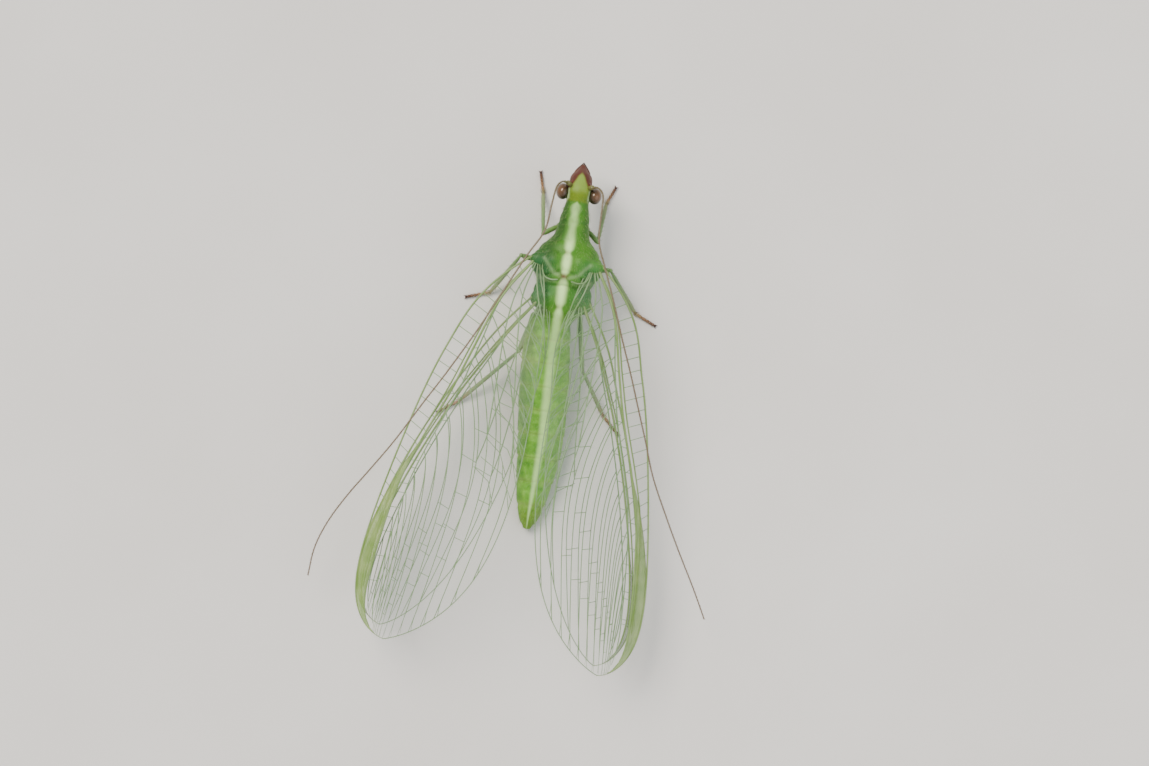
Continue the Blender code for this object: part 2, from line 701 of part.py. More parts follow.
clear_scene()
lacewing = bpy.data.collections.new("green_lacewing")
bpy.context.scene.collection.children.link(lacewing)
make_head(lacewing)
make_eyes(lacewing)
make_prothorax(lacewing)
make_thorax(lacewing)
make_abdomen(lacewing)
make_wings(lacewing)
make_antennae(lacewing)
make_legs(lacewing)
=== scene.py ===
"""The looks of a green lacewing at rest, life size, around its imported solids.

Lengths are millimetres in this script. A finished mesh is scaled to metres once, at the
origin. The head points to +Y, the insect's right side is +X, and the floor is at z = 0.
"""

import itertools
import math
import random

import bmesh
import bpy
from mathutils import Matrix, Vector


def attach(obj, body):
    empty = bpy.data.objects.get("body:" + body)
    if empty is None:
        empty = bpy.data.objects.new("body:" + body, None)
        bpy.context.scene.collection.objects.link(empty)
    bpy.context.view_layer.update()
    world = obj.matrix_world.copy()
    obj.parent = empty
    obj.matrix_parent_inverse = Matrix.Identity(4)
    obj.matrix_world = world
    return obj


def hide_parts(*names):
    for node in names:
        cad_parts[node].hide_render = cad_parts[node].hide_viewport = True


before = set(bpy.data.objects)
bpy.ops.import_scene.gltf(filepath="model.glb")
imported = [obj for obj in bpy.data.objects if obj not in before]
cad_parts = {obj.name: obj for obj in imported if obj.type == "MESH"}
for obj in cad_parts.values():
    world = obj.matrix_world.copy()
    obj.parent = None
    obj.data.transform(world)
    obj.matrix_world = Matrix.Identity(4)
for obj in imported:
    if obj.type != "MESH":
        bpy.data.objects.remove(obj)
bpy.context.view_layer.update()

# Floor, light and camera
# A plain pale sheet under soft light from all round, with one broad lamp high on the upper
# left and a weak one across from it. The camera looks straight down on the back.
MM = 0.001
FLOOR_SIZE = 3000
VIEW_TURN = math.radians(9.4)
VIEW_CENTRE = Vector((0.822, 1.071, 2.0))
VIEW_WIDTH = 35.62
VIEW_DISTANCE = 300
CLIP_METRES = (0.01, 10)
SENSOR_WIDTH = 36
# Strength, spread in degrees, direction towards the lamp, colour
LAMPS = {
    "key_lamp": (3.7, 30, (-0.55, 0.45, 1.0), "FFF8EE"),
    "fill_lamp": (0.9, 60, (0.9, -0.3, 0.8), "EEF4FF"),
}
SKY_COLOUR = "E8EAEE"
SKY_STRENGTH = 0.95


def linear(hex_colour):
    """An sRGB hex colour as linear light, with full alpha."""
    channels = [int(hex_colour[i : i + 2], 16) / 255 for i in (0, 2, 4)]
    return (*(c / 12.92 if c <= 0.04045 else ((c + 0.055) / 1.055) ** 2.4 for c in channels), 1)


def add_node(tree, kind, settings=None, links=None):
    """Adds a node. Settings set its sockets or properties, links join sockets to its inputs."""
    node = tree.nodes.new("ShaderNode" + kind)
    for key, value in (settings or {}).items():
        if key == "stops":
            ramp = node.color_ramp.elements
            for index, (place, colour) in enumerate(value):
                stop = ramp[index] if index < len(ramp) else ramp.new(place)
                stop.position = place
                stop.color = linear(colour)
        elif isinstance(key, int) or key in node.inputs:
            node.inputs[key].default_value = value
        else:
            setattr(node, key, value)
    for key, socket in (links or {}).items():
        tree.links.new(socket, node.inputs[key])
    return node


def new_material(name, settings):
    """A material with its one shader, whose plain values are set on the shader's own sockets."""
    made = bpy.data.materials.new(name)
    made.use_nodes = True
    made.node_tree.nodes.clear()
    shader = add_node(made.node_tree, "BsdfPrincipled", settings)
    add_node(made.node_tree, "OutputMaterial", links={"Surface": shader.outputs[0]})
    return made, made.node_tree, shader


def object_noise(tree, size, detail):
    """Noise in the object's own space, with blotches about a size in millimetres."""
    place = add_node(tree, "TexCoord").outputs["Object"]
    noise = add_node(tree, "TexNoise", {"Scale": 1 / (size * MM), "Detail": detail}, {"Vector": place})
    return noise.outputs["Fac"]


def mottled_material(name, settings, size, detail, stops):
    """A material whose colour drifts between stops, in blotches about a size in millimetres."""
    made, tree, shader = new_material(name, settings)
    tone = add_node(tree, "ValToRGB", {"stops": stops}, {"Fac": object_noise(tree, size, detail)})
    tree.links.new(tone.outputs["Color"], shader.inputs["Base Color"])
    return made


def placed(name, data):
    """An object in the scene that holds a mesh, a curve, a lamp or a camera."""
    made = bpy.data.objects.new(name, data)
    bpy.context.scene.collection.objects.link(made)
    return made


# Pale matt plaster, which stays even and only faintly mottled under the insect
plaster = mottled_material("matte_plaster", {"Roughness": 0.9, "Specular IOR Level": 0.2}, 8, 5,
                           [(0.3, "DAD6D0"), (0.7, "E0DDD8")])
bm = bmesh.new()
bmesh.ops.create_grid(bm, x_segments=1, y_segments=1, size=FLOOR_SIZE * MM / 2)
floor = placed("floor", bpy.data.meshes.new("floor"))
bm.to_mesh(floor.data)
bm.free()
floor.data.materials.append(plaster)

for name, (strength, spread, towards, colour) in LAMPS.items():
    lamp = placed(name, bpy.data.lights.new(name, "SUN"))
    lamp.data.energy = strength
    lamp.data.angle = math.radians(spread)
    lamp.data.color = linear(colour)[:3]
    lamp.rotation_euler = Vector(towards).to_track_quat("Z", "Y").to_euler()

sky = bpy.data.worlds.new("soft_room")
sky.use_nodes = True
background = sky.node_tree.nodes["Background"].inputs
background["Color"].default_value = linear(SKY_COLOUR)
background["Strength"].default_value = SKY_STRENGTH
bpy.context.scene.world = sky

camera = placed("camera", bpy.data.cameras.new("camera"))
camera.data.sensor_width = SENSOR_WIDTH
camera.data.lens = SENSOR_WIDTH * VIEW_DISTANCE / VIEW_WIDTH
camera.data.clip_start, camera.data.clip_end = CLIP_METRES
camera.location = (VIEW_CENTRE + Vector((0, 0, VIEW_DISTANCE))) * MM
camera.rotation_euler = (0, 0, VIEW_TURN)
bpy.context.scene.camera = camera

# Body
# The real body is one tube of thin, tough cuticle in rings: head capsule, collar, two winged
# segments with raised lobes, and a soft abdomen whose plates overlap like tiles. It is made
# as closed forms fused into one skin, with the seams between plates pressed in after.
SIDES = {"left": -1, "right": 1}
# Rings of the trunk from the lip back: place along the body, centre height, half width and height
TRUNK_STATIONS = [
    (7.80, 1.38, 0.06, 0.05), (7.68, 1.45, 0.13, 0.11), (7.55, 1.54, 0.20, 0.19),
    (7.38, 1.67, 0.30, 0.29), (7.24, 1.77, 0.36, 0.35), (7.05, 1.88, 0.39, 0.42),
    (6.90, 1.93, 0.39, 0.44), (6.76, 1.95, 0.38, 0.41), (6.66, 1.96, 0.365, 0.37),
    (6.57, 1.96, 0.355, 0.345), (6.48, 1.95, 0.37, 0.355), (6.36, 1.93, 0.405, 0.395),
    (6.12, 1.91, 0.455, 0.435), (5.98, 1.89, 0.475, 0.44), (5.84, 1.88, 0.49, 0.46),
    (5.62, 1.85, 0.53, 0.50), (5.46, 1.83, 0.59, 0.53), (5.34, 1.82, 0.70, 0.56),
    (5.20, 1.82, 0.84, 0.62), (5.08, 1.80, 0.92, 0.69), (4.85, 1.76, 0.99, 0.79),
    (4.55, 1.72, 1.01, 0.84), (4.28, 1.68, 0.96, 0.82), (4.10, 1.66, 0.88, 0.76),
    (3.98, 1.65, 0.84, 0.71), (3.85, 1.64, 0.84, 0.72), (3.65, 1.62, 0.86, 0.74),
    (3.40, 1.59, 0.80, 0.71), (3.20, 1.57, 0.68, 0.66), (3.06, 1.55, 0.55, 0.58),
    (2.86, 1.52, 0.42, 0.46),
]
ABDOMEN_FRONT = Vector((-0.25, 3.02, 1.56))
ABDOMEN_TIP = Vector((0.085, -3.64, 0.20))
ABDOMEN_SWAY_SHARE = 0.7
ABDOMEN_HALF_WIDTH = 0.76
ABDOMEN_HALF_HEIGHT = 0.70
ABDOMEN_LEAST_SHARE = 0.18
ABDOMEN_RINGS = 80
ABDOMEN_SEGMENTS = 9
# The two small lobes at the tip, as the right one's centre from the tip and its radii
TAIL_LOBE = ((0.05, 0.09, 0.05), (0.09, 0.13, 0.12))
BODY_RING_SIDES = 40
# Raised lobes on both sides of the body, as the centre and the radii of the right one
LOBES = {
    "vertex_lobe": ((0.14, 6.94, 2.13), (0.20, 0.22, 0.22)),
    "antenna_socket": ((0.27, 7.12, 2.10), (0.12, 0.11, 0.12)),
    "cheek": ((0.21, 7.28, 1.66), (0.15, 0.26, 0.18)),
    "front_lobe": ((0.24, 5.00, 2.15), (0.28, 0.26, 0.24)),
    "shoulder_lobe": ((0.41, 4.72, 2.13), (0.42, 0.40, 0.42)),
    "wing_plate": ((0.86, 4.62, 2.04), (0.26, 0.40, 0.22)),
    "wing_hinge": ((0.84, 4.70, 2.27), (0.35, 0.20, 0.15)),
    "side_plate": ((0.60, 4.55, 1.40), (0.38, 0.42, 0.42)),
    "rear_lobe": ((0.38, 3.60, 1.96), (0.36, 0.24, 0.33)),
    "rear_wing_plate": ((0.56, 3.76, 1.82), (0.36, 0.34, 0.22)),
    "rear_wing_hinge": ((0.62, 3.48, 1.93), (0.36, 0.32, 0.17)),
    "rear_side_plate": ((0.50, 3.50, 1.32), (0.34, 0.34, 0.38)),
}
MIDDLE_LOBES = {
    "face_plate": ((0, 7.34, 1.86), (0.15, 0.20, 0.11)),
    "lip_plate": ((0, 7.60, 1.54), (0.09, 0.14, 0.08)),
    "front_shield": ((0, 4.24, 2.28), (0.27, 0.19, 0.26)),
    "rear_shield": ((0, 3.36, 2.10), (0.22, 0.16, 0.18)),
}
SKIN_VOXEL = 0.032
SKIN_SMOOTHINGS = 7
FLOOR_GAP = 0.003


def smooth_step(share):
    """0 below 0, 1 above 1, and an even S between."""
    share = min(max(share, 0), 1)
    return share * share * (3 - 2 * share)


def gauss(distance, width):
    return math.exp(-((distance / width) ** 2))


def from_table(table, place):
    """Value of a table of (place, value) at a place, straight between its rows."""
    for (a, low), (b, high) in zip(table, table[1:]):
        if place <= b:
            return low + (high - low) * max((place - a) / (b - a), 0)
    return table[-1][1]


def softened(table, place, reach=0.03):
    """A table's value with the table's corners rounded."""
    return sum(from_table(table, place + reach * step) for step in (-1, -0.5, 0, 0.5, 1)) / 5


def smooth_line(stations, steps):
    """Points of a Catmull-Rom curve through the stations, with steps spans between each two."""
    stations = [Vector(s) for s in stations]
    held = [stations[0] * 2 - stations[1], *stations, stations[-1] * 2 - stations[-2]]
    line = []
    for a, b, c, d in zip(held, held[1:], held[2:], held[3:]):
        for step in range(steps):
            t = step / steps
            bend = (2 * a - 5 * b + 4 * c - d) * t**2 + (3 * b - a - 3 * c + d) * t**3
            line.append(0.5 * (2 * b + (c - a) * t + bend))
    return [*line, stations[-1]]


def loft(bm, rings, sides):
    """Adds a closed body through elliptical rings. A ring is (centre, half width, half height)."""
    across = (rings[1][0] - rings[0][0]).cross(Vector((0, 0, 1)))
    if across.length < 1e-3 * (rings[1][0] - rings[0][0]).length:
        across = Vector((1, 0, 0))
    before = None
    for index, (centre, half_width, half_height) in enumerate(rings):
        ahead = rings[min(index + 1, len(rings) - 1)][0]
        along = (ahead - rings[max(index - 1, 0)][0]).normalized()
        across = (across - along * across.dot(along)).normalized()
        up = across.cross(along)
        axes = Matrix((across * half_width, up * half_height, along)).transposed().to_4x4()
        place = Matrix.Translation(centre) @ axes
        ring = bmesh.ops.create_circle(bm, segments=sides, radius=1, matrix=place)["verts"]
        edges = list(dict.fromkeys(edge for vert in ring for edge in vert.link_edges))
        if before:
            bmesh.ops.bridge_loops(bm, edges=[*before, *edges])
        if index in (0, len(rings) - 1):
            bm.faces.new(ring)
        before = edges


def ball(bm, centre, radii, segments=24, rings=14):
    """Adds an ellipsoid."""
    place = Matrix.Translation(centre) @ Matrix.Diagonal(radii).to_4x4()
    bmesh.ops.create_uvsphere(bm, u_segments=segments, v_segments=rings, radius=1, matrix=place)


def new_object(name, bm):
    """An object in the scene from a bmesh with its faces turned outwards."""
    bmesh.ops.recalc_face_normals(bm, faces=bm.faces)
    mesh = bpy.data.meshes.new(name)
    bm.to_mesh(mesh)
    bm.free()
    mesh.shade_smooth()
    return placed(name, mesh)


def shaped_mesh(obj):
    """The mesh that an object's modifiers or curve settings give."""
    bpy.context.view_layer.update()
    graph = bpy.context.evaluated_depsgraph_get()
    return bpy.data.meshes.new_from_object(obj.evaluated_get(graph))


def apply_modifiers(obj):
    """Turns the modified shape into the object's own mesh."""
    shape = shaped_mesh(obj)
    obj.modifiers.clear()
    obj.data = shape


def settle(obj, material, replaced=()):
    """Finishes a piece: its material, its scale in metres, its body and the solids it replaces."""
    obj.data.materials.append(material)
    obj.data.transform(Matrix.Scale(MM, 4))
    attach(obj, "root")
    if replaced:
        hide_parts(*replaced)


def abdomen_share(y):
    """Share of the abdomen's length at a place, from its waist at 0 to its tip at 1."""
    return (ABDOMEN_FRONT.y - y) / (ABDOMEN_FRONT.y - ABDOMEN_TIP.y)


def abdomen_middle(t):
    """Centre line of the abdomen, which sways from the left in front to the right behind."""
    middle = ABDOMEN_FRONT.lerp(ABDOMEN_TIP, t)
    middle.x = ABDOMEN_FRONT.x + (ABDOMEN_TIP.x - ABDOMEN_FRONT.x) * smooth_step(t / ABDOMEN_SWAY_SHARE)
    return middle


def abdomen_swell(t):
    """Share of the greatest width: fullest before the middle, tapering to a blunt tip."""
    body = 0.80 + 0.20 * math.sin(math.pi * min(t / 0.9, 1) ** 0.75)
    return max(body * (1 - t**5) ** 0.5, ABDOMEN_LEAST_SHARE)


def nearest_on_line(point, line):
    """Distance from a point to a line of points, flat or in space, and how far along it is."""
    nearest = (1e9, 0)
    travelled = 0
    for a, b in zip(line, line[1:]):
        span = b - a
        t = min(max((point - a).dot(span) / span.length_squared, 0), 1)
        nearest = min(nearest, ((point - a - span * t).length, travelled + span.length * t))
        travelled += span.length
    return nearest


# Seams of the head and thorax, as points on the right side and the width and depth pressed in
SEAMS = [
    ([(0, 5.06, 2.4), (0, 4.44, 2.5)], 0.045, 0.035),
    ([(0, 4.46, 2.6), (0.24, 4.38, 2.5), (0.66, 4.20, 2.3)], 0.05, 0.05),
    ([(0, 3.62, 2.3), (0.22, 3.54, 2.2), (0.50, 3.38, 2.1)], 0.045, 0.035),
    ([(0, 5.98, 2.4), (0.30, 5.97, 2.2), (0.46, 5.95, 1.9)], 0.06, 0.022),
    ([(0, 6.30, 2.4), (0.28, 6.29, 2.2), (0.42, 6.27, 1.9)], 0.06, 0.014),
    ([(0, 5.40, 2.35), (0.34, 5.36, 2.2), (0.56, 5.32, 1.9)], 0.05, 0.045),
    ([(0, 3.97, 2.40), (0.40, 3.95, 2.25), (0.72, 3.93, 1.9)], 0.05, 0.04),
    ([(0, 7.23, 2.1), (0.13, 7.24, 2.0), (0.24, 7.20, 1.8)], 0.03, 0.02),
    ([(0, 7.53, 1.8), (0.12, 7.51, 1.7), (0.20, 7.44, 1.5)], 0.03, 0.025),
    ([(0, 6.72, 2.4), (0.24, 6.71, 2.3), (0.36, 6.69, 2.0)], 0.035, 0.02),
    ([(0.93, 4.98, 1.95), (1.00, 4.60, 1.70), (0.84, 4.18, 1.35), (0.60, 4.14, 1.10)], 0.05, 0.06),
    ([(0.84, 3.97, 1.75), (0.76, 3.97, 1.35), (0.45, 3.97, 1.05)], 0.05, 0.05),
    ([(0.82, 3.82, 1.80), (0.80, 3.60, 1.55), (0.70, 3.36, 1.25)], 0.05, 0.05),
    ([(0.74, 5.28, 1.82), (0.62, 5.26, 1.50), (0.33, 5.26, 1.30)], 0.05, 0.05),
]
SEAM_LINES = [([Vector(point) for point in line], width, depth) for line, width, depth in SEAMS]
SEAM_REACH = 0.5
THORAX_END = 3.2
# The plates of the abdomen: how far each rises to its rear edge, the grooves and the side fold
PLATE_RISE = 0.018
PLATE_GROOVE = 0.022
SIDE_FOLD_DEPTH = 0.05
SIDE_FOLD_ANGLE = math.radians(103)
FLANK_SWELL = 0.012
BACK_GROOVE = 0.008


def pressed(place):
    """How far the skin stands out at a point: plate edges, seams and side folds."""
    out = 0
    t = abdomen_share(place.y)
    if t > 0.02:
        middle = abdomen_middle(min(t, 1))
        around = math.atan2(abs(place.x - middle.x), place.z - middle.z)
        share = t * ABDOMEN_SEGMENTS % 1
        fade = smooth_step((t - 0.02) / 0.05) * smooth_step((0.99 - t) / 0.03)
        plate = PLATE_RISE * share**1.5
        plate = plate - PLATE_GROOVE * gauss(share, 0.09) - PLATE_GROOVE * gauss(share - 1, 0.06)
        fold = gauss(around - SIDE_FOLD_ANGLE, 0.11)
        out += plate - SIDE_FOLD_DEPTH * fold * (0.7 + 0.3 * math.cos(share * 2 * math.pi))
        out += FLANK_SWELL * gauss(around - SIDE_FOLD_ANGLE + 0.4, 0.25) - BACK_GROOVE * gauss(around, 0.10)
        out *= fade
    elif place.y > THORAX_END:
        mirrored = Vector((abs(place.x), place.y, place.z))
        for line, width, depth in SEAM_LINES:
            if min(abs(mirrored.y - point.y) for point in line) < SEAM_REACH:
                out -= depth * gauss(min(nearest_on_line(mirrored, line)[0], width * 3), width)
    return out


# The pale stripe down the back, as (place along the body, value)
STRIPE_MIDDLE = [(-3.60, 0.07), (-0.90, 0.12), (-0.20, 0.08), (1.00, 0.03), (2.30, -0.04), (3.20, -0.02),
                 (4.60, -0.03), (5.40, -0.02), (6.80, -0.02)]
STRIPE_HALF_WIDTH = [(-3.60, 0.01), (-2.70, 0.05), (-1.80, 0.085), (0.0, 0.115), (2.40, 0.12), (3.10, 0.11),
                     (3.30, 0.06), (3.46, 0.12), (3.95, 0.13), (4.10, 0.11), (4.26, 0.03), (4.42, 0.10),
                     (4.70, 0.12), (4.90, 0.11), (5.02, 0.05), (5.14, 0.11), (5.40, 0.125), (5.62, 0.105),
                     (5.82, 0.09), (6.02, 0.13), (6.20, 0.09), (6.40, 0.13), (6.52, 0.11), (6.62, 0.0)]
# Rust-brown: a band from eye to jaw that fills the lower cheek, and spots as centre, radius, strength
RUST_STRIPE = [Vector((0.02, 7.84)), Vector((0.15, 7.54)), Vector((0.25, 7.32)), Vector((0.37, 7.10))]
RUST_STRIPE_WIDTH = 0.10
RUST_SPOTS = [(Vector((-0.04, 4.27)), 0.11, 0.95), (Vector((-0.05, 5.02)), 0.08, 0.4),
              (Vector((-0.06, 3.31)), 0.08, 0.45)]
MOUTH_START = Vector((7.05, 1.88))
MOUTH_SLOPE = 0.67
SHIELD_LINES = [[Vector((0.12, 4.24)), Vector((0.40, 4.36)), Vector((0.72, 4.74))],
                [Vector((0.30, 4.10)), Vector((0.62, 4.10)), Vector((0.92, 4.20))]]
WING_ROOTS = [Vector((0.80, 4.45)), Vector((0.68, 3.74))]
WING_ROOT_REACH = 0.42
EYE_CENTRE = Vector((0.50, 6.88, 1.98))
EYE_RADII = Vector((0.21, 0.255, 0.27))
# Where parts of the body start along it
WAIST_Y = 3.1
COLLAR_Y = 5.2
HEAD_Y = 6.58
NECK_Y = 6.7
FACE_Y = 6.84
CHEEK_Y = 6.95


def distance_to_eye(place):
    """Distance from a point to the centre of the eye on its side."""
    return (place - Vector((math.copysign(EYE_CENTRE.x, place.x), *EYE_CENTRE.yz))).length


def cheek_rust(plan, z):
    """Strength of the rust-brown band from eye to jaw, at a place on the right half and a height."""
    if plan.y <= CHEEK_Y:
        return 0
    above_mouth = z - (MOUTH_START.y - MOUTH_SLOPE * (plan.y - MOUTH_START.x))
    near = nearest_on_line(plan, RUST_STRIPE)[0]
    lower_cheek = smooth_step((0.22 - above_mouth) / 0.1) * smooth_step((plan.y - 7.2) / 0.15)
    near *= 1 - lower_cheek * smooth_step((plan.x - 0.06) / 0.08)
    width = RUST_STRIPE_WIDTH + 0.05 * smooth_step((plan.y - 7.42) / 0.15)
    return smooth_step((width * 1.4 - near) / (width * 0.8)) * smooth_step((above_mouth + 0.22) / 0.12)


def marks(place, normal, depth):
    """Strength of each colour mark at a point of the skin, from 0 to 1."""
    x, y, z = place
    plan = Vector((abs(x), y))
    upper = smooth_step((normal.z - 0.2) / 0.4)
    collar = smooth_step((y - COLLAR_Y) / 0.5)
    half_width = softened(STRIPE_HALF_WIDTH, y)
    off_stripe = abs(x - softened(STRIPE_MIDDLE, y, 0.3))
    stripe = smooth_step((half_width * 1.85 - off_stripe) / (half_width * 1.6 + 1e-6)) * upper
    stripe *= 1 - 0.50 * collar - 0.22 * smooth_step((WAIST_Y - y) / 0.3)
    rust = cheek_rust(plan, z)
    for spot, radius, strength in RUST_SPOTS:
        rust = max(rust, strength * gauss((Vector((x, y)) - spot).length, radius) * upper)
    pale = gauss(distance_to_eye(place) - EYE_RADII.y - 0.03, 0.05) if y > 6.5 else 0
    if 4 < y < 4.9:
        near_lines = [nearest_on_line(plan, line)[0] for line in SHIELD_LINES]
        pale = max(pale, *(0.3 * gauss(near_line, 0.06) * upper for near_line in near_lines))
    t = abdomen_share(y)
    off_middle = abs(x - (abdomen_middle(t).x if 0 < t < 1 else 0))
    flank_shade = smooth_step((off_middle - 0.22 + 0.10 * collar) / (0.40 - 0.12 * collar))
    # Painted shade: the flanks are painted darker green where the body turns down, the left one much more
    # than the right
    left_or_right_shade = 1 + 0.40 * collar if x < 0 else 0.10 + 0.45 * collar
    flank_shade = flank_shade * left_or_right_shade * (0.55 + 0.45 * smooth_step((y - THORAX_END) / 1.2))
    near_root = max(gauss((plan - root).length, WING_ROOT_REACH) for root in WING_ROOTS)
    segment = t * ABDOMEN_SEGMENTS
    return {
        "thorax": smooth_step((y - 2.5) / 0.9),
        "tip": smooth_step((-2.5 - y) / 0.9),
        # side: painted shade on the flanks
        "side": min(flank_shade, 1) * (y < NECK_Y),
        "wing_base": near_root * smooth_step((z - 1.5) / 0.4),
        "segment": gauss(segment - round(segment), 0.11) if 0.05 < t < 0.97 else 0,
        "head": smooth_step((y - HEAD_Y) / 0.10),
        "face": smooth_step((y - FACE_Y) / 0.25),
        # Painted shade: the seams are painted darker green the deeper they are pressed in
        "painted_seam_shade": min(max(-depth, 0) / 0.045, 1),
        "stripe": stripe,
        "pale": pale,
        "rust": rust,
    }


bm = bmesh.new()
loft(bm, [(Vector((0, s[0], s[1])), s[2], s[3]) for s in smooth_line(TRUNK_STATIONS, 3)], BODY_RING_SIDES)
rings = []
for index in range(ABDOMEN_RINGS + 1):
    t = index / ABDOMEN_RINGS
    swell = abdomen_swell(t)
    rings.append((abdomen_middle(t), ABDOMEN_HALF_WIDTH * swell, ABDOMEN_HALF_HEIGHT * swell))
loft(bm, rings, BODY_RING_SIDES)
for (x, y, z), radii in LOBES.values():
    for side in SIDES.values():
        ball(bm, (x * side, y, z), radii)
for centre, radii in MIDDLE_LOBES.values():
    ball(bm, centre, radii)
(x, y, z), radii = TAIL_LOBE
for side in SIDES.values():
    ball(bm, ABDOMEN_TIP + Vector((x * side, y, z)), radii)
skin = new_object("body_skin", bm)
remesh = skin.modifiers.new("Fuse", "REMESH")
remesh.mode = "VOXEL"
remesh.voxel_size = SKIN_VOXEL
apply_modifiers(skin)
bm = bmesh.new()
bm.from_mesh(skin.data)
for _ in range(SKIN_SMOOTHINGS):
    bmesh.ops.smooth_vert(bm, verts=bm.verts, factor=0.5, use_axis_x=True, use_axis_y=True,
                          use_axis_z=True)
bm.normal_update()
depths = [pressed(vert.co) for vert in bm.verts]
for vert, depth in zip(bm.verts, depths):
    vert.co += vert.normal * depth
    vert.co.z = max(vert.co.z, FLOOR_GAP)
bm.normal_update()
found = [marks(vert.co, vert.normal, depth) for vert, depth in zip(bm.verts, depths)]
hair_places = [(face.calc_center_median(), face.normal.copy()) for face in bm.faces]
bm.to_mesh(skin.data)
bm.free()
for name in found[0]:
    layer = skin.data.attributes.new(name, "FLOAT", "POINT")
    layer.data.foreach_set("value", [at[name] for at in found])
skin.data.shade_smooth()

# Greens of the blood seen through the cuticle, and what each mark lays over them in this order
BLOOD_GREENS = [(0.30, "528E26"), (0.50, "6CA832"), (0.72, "8AC24A")]
MARK_COLOURS = [
    # The side colour is painted shade on the flanks
    ("thorax", "386E10", 0.78), ("tip", "66701E", 0.50), ("side", "1F4410", 0.78),
    ("wing_base", "34744A", 0.50), ("segment", "A8C25C", 0.25), ("head", "6C7E08", 0.80),
    # This seam colour is painted shade in the pressed-in seams
    ("face", "7E983C", 0.85), ("painted_seam_shade", "2F5E20", 0.45), ("stripe", "D0F6A0", 0.95),
    ("pale", "C0DCA0", 0.75), ("rust", "4E1906", 0.99),
]


def leaf_green_cuticle():
    """Thin waxy cuticle over green blood: satin, slightly see-through, mottled in greens."""
    made, tree, shader = new_material("leaf_green_cuticle", {
        "Subsurface Weight": 0.35, "Subsurface Radius": (0.4, 1.0, 0.25),
        "Subsurface Scale": 0.18 * MM, "Specular IOR Level": 0.25,
    })
    mottle = object_noise(tree, 0.22, 4)
    colour = add_node(tree, "ValToRGB", {"stops": BLOOD_GREENS}, {"Fac": mottle}).outputs["Color"]
    for name, over, strength in MARK_COLOURS:
        mark = add_node(tree, "Attribute", {"attribute_name": name}).outputs["Fac"]
        mask = add_node(tree, "Math", {"operation": "MULTIPLY", 1: strength}, {0: mark}).outputs[0]
        layer = add_node(tree, "Mix", {"data_type": "RGBA", 7: linear(over)}, {0: mask, 6: colour})
        colour = layer.outputs[2]
    tree.links.new(colour, shader.inputs["Base Color"])
    grain = object_noise(tree, 0.035, 3)
    bump = add_node(tree, "Bump", {"Strength": 0.35, "Distance": 0.006 * MM}, {"Height": grain})
    tree.links.new(bump.outputs["Normal"], shader.inputs["Normal"])
    rough = add_node(tree, "MapRange", {"To Min": 0.40, "To Max": 0.58}, {"Value": mottle})
    tree.links.new(rough.outputs["Result"], shader.inputs["Roughness"])
    return made


settle(skin, leaf_green_cuticle(), ("head", "prothorax", "mesothorax", "metathorax", "abdomen"))

# Down of the body
# Pale bristles stand on the real skin, longest on the thorax, shorter on the abdomen, very
# short on the crown and none on the face. Each is one tapered spike of cuticle, leaning back.
HAIR_COUNT = 5600
HAIR_THICKNESS = 0.0065
CROWN_HAIR = 0.05
THORAX_HAIR = 0.14
ABDOMEN_HAIR = 0.08
TAIL_HAIR_MORE = 0.06
BARE_FACE_Y = 7.05
BARE_ROUND_EYE = 0.3
BARE_UNDERSIDE = 0.12
# Side of a hair's patch, which lies at its root's place in an unwrap along and round the body
HAIR_PATCH = 0.003
UNWRAP_START = 4
UNWRAP_LENGTH = 12.2
UNWRAP_AXIS_Z = 1.5
UNWRAP_SHARE = 0.99
random.seed(11)


def new_coat():
    """An empty mesh for bristles, and its map that holds a small patch for each bristle."""
    coat = bmesh.new()
    return coat, coat.loops.layers.uv.new("OFBake")


def bristle(coat, root, direction, length, thickness, spot):
    """Adds one tapered bristle, a spike of three sides, with its patch at a spot of the map."""
    bm, patches = coat
    turn = direction.to_track_quat("Z", "Y").to_matrix().to_4x4()
    middle = root + direction.normalized() * (length / 2 - thickness)
    spike = bmesh.ops.create_cone(bm, cap_ends=True, segments=3, radius1=thickness / 2, radius2=0,
                                  depth=length, matrix=Matrix.Translation(middle) @ turn)["verts"]
    for index, vert in enumerate(spike):
        for loop in vert.link_loops:
            loop[patches].uv = (spot[0] + index % 2 * HAIR_PATCH, spot[1] + index // 2 * HAIR_PATCH)


coat = new_coat()
for place, normal in random.sample(hair_places, HAIR_COUNT):
    if place.z < BARE_UNDERSIDE or place.y > BARE_FACE_Y or distance_to_eye(place) < BARE_ROUND_EYE:
        continue
    if place.y > NECK_Y:
        length = CROWN_HAIR
    elif place.y > WAIST_Y:
        length = THORAX_HAIR
    else:
        length = ABDOMEN_HAIR + TAIL_HAIR_MORE * smooth_step((-2.2 - place.y) / 1.0)
    lean = Vector((random.uniform(-0.3, 0.3), -1.1, random.uniform(-0.2, 0.2)))
    around = math.atan2(place.x, place.z - UNWRAP_AXIS_Z) / (2 * math.pi) + 0.5
    spot = ((place.y + UNWRAP_START) / UNWRAP_LENGTH, around * UNWRAP_SHARE)
    bristle(coat, place, normal + lean, length * random.uniform(0.7, 1.2), HAIR_THICKNESS, spot)
# Clear to straw-coloured bristles of cuticle, glossy and a little uneven in tone
clear_bristle = mottled_material("clear_body_bristle", {"Roughness": 0.35}, 0.5, 2,
                                 [(0.35, "86A456"), (0.65, "A8BC80")])
settle(new_object("body_down", coat[0]), clear_bristle)

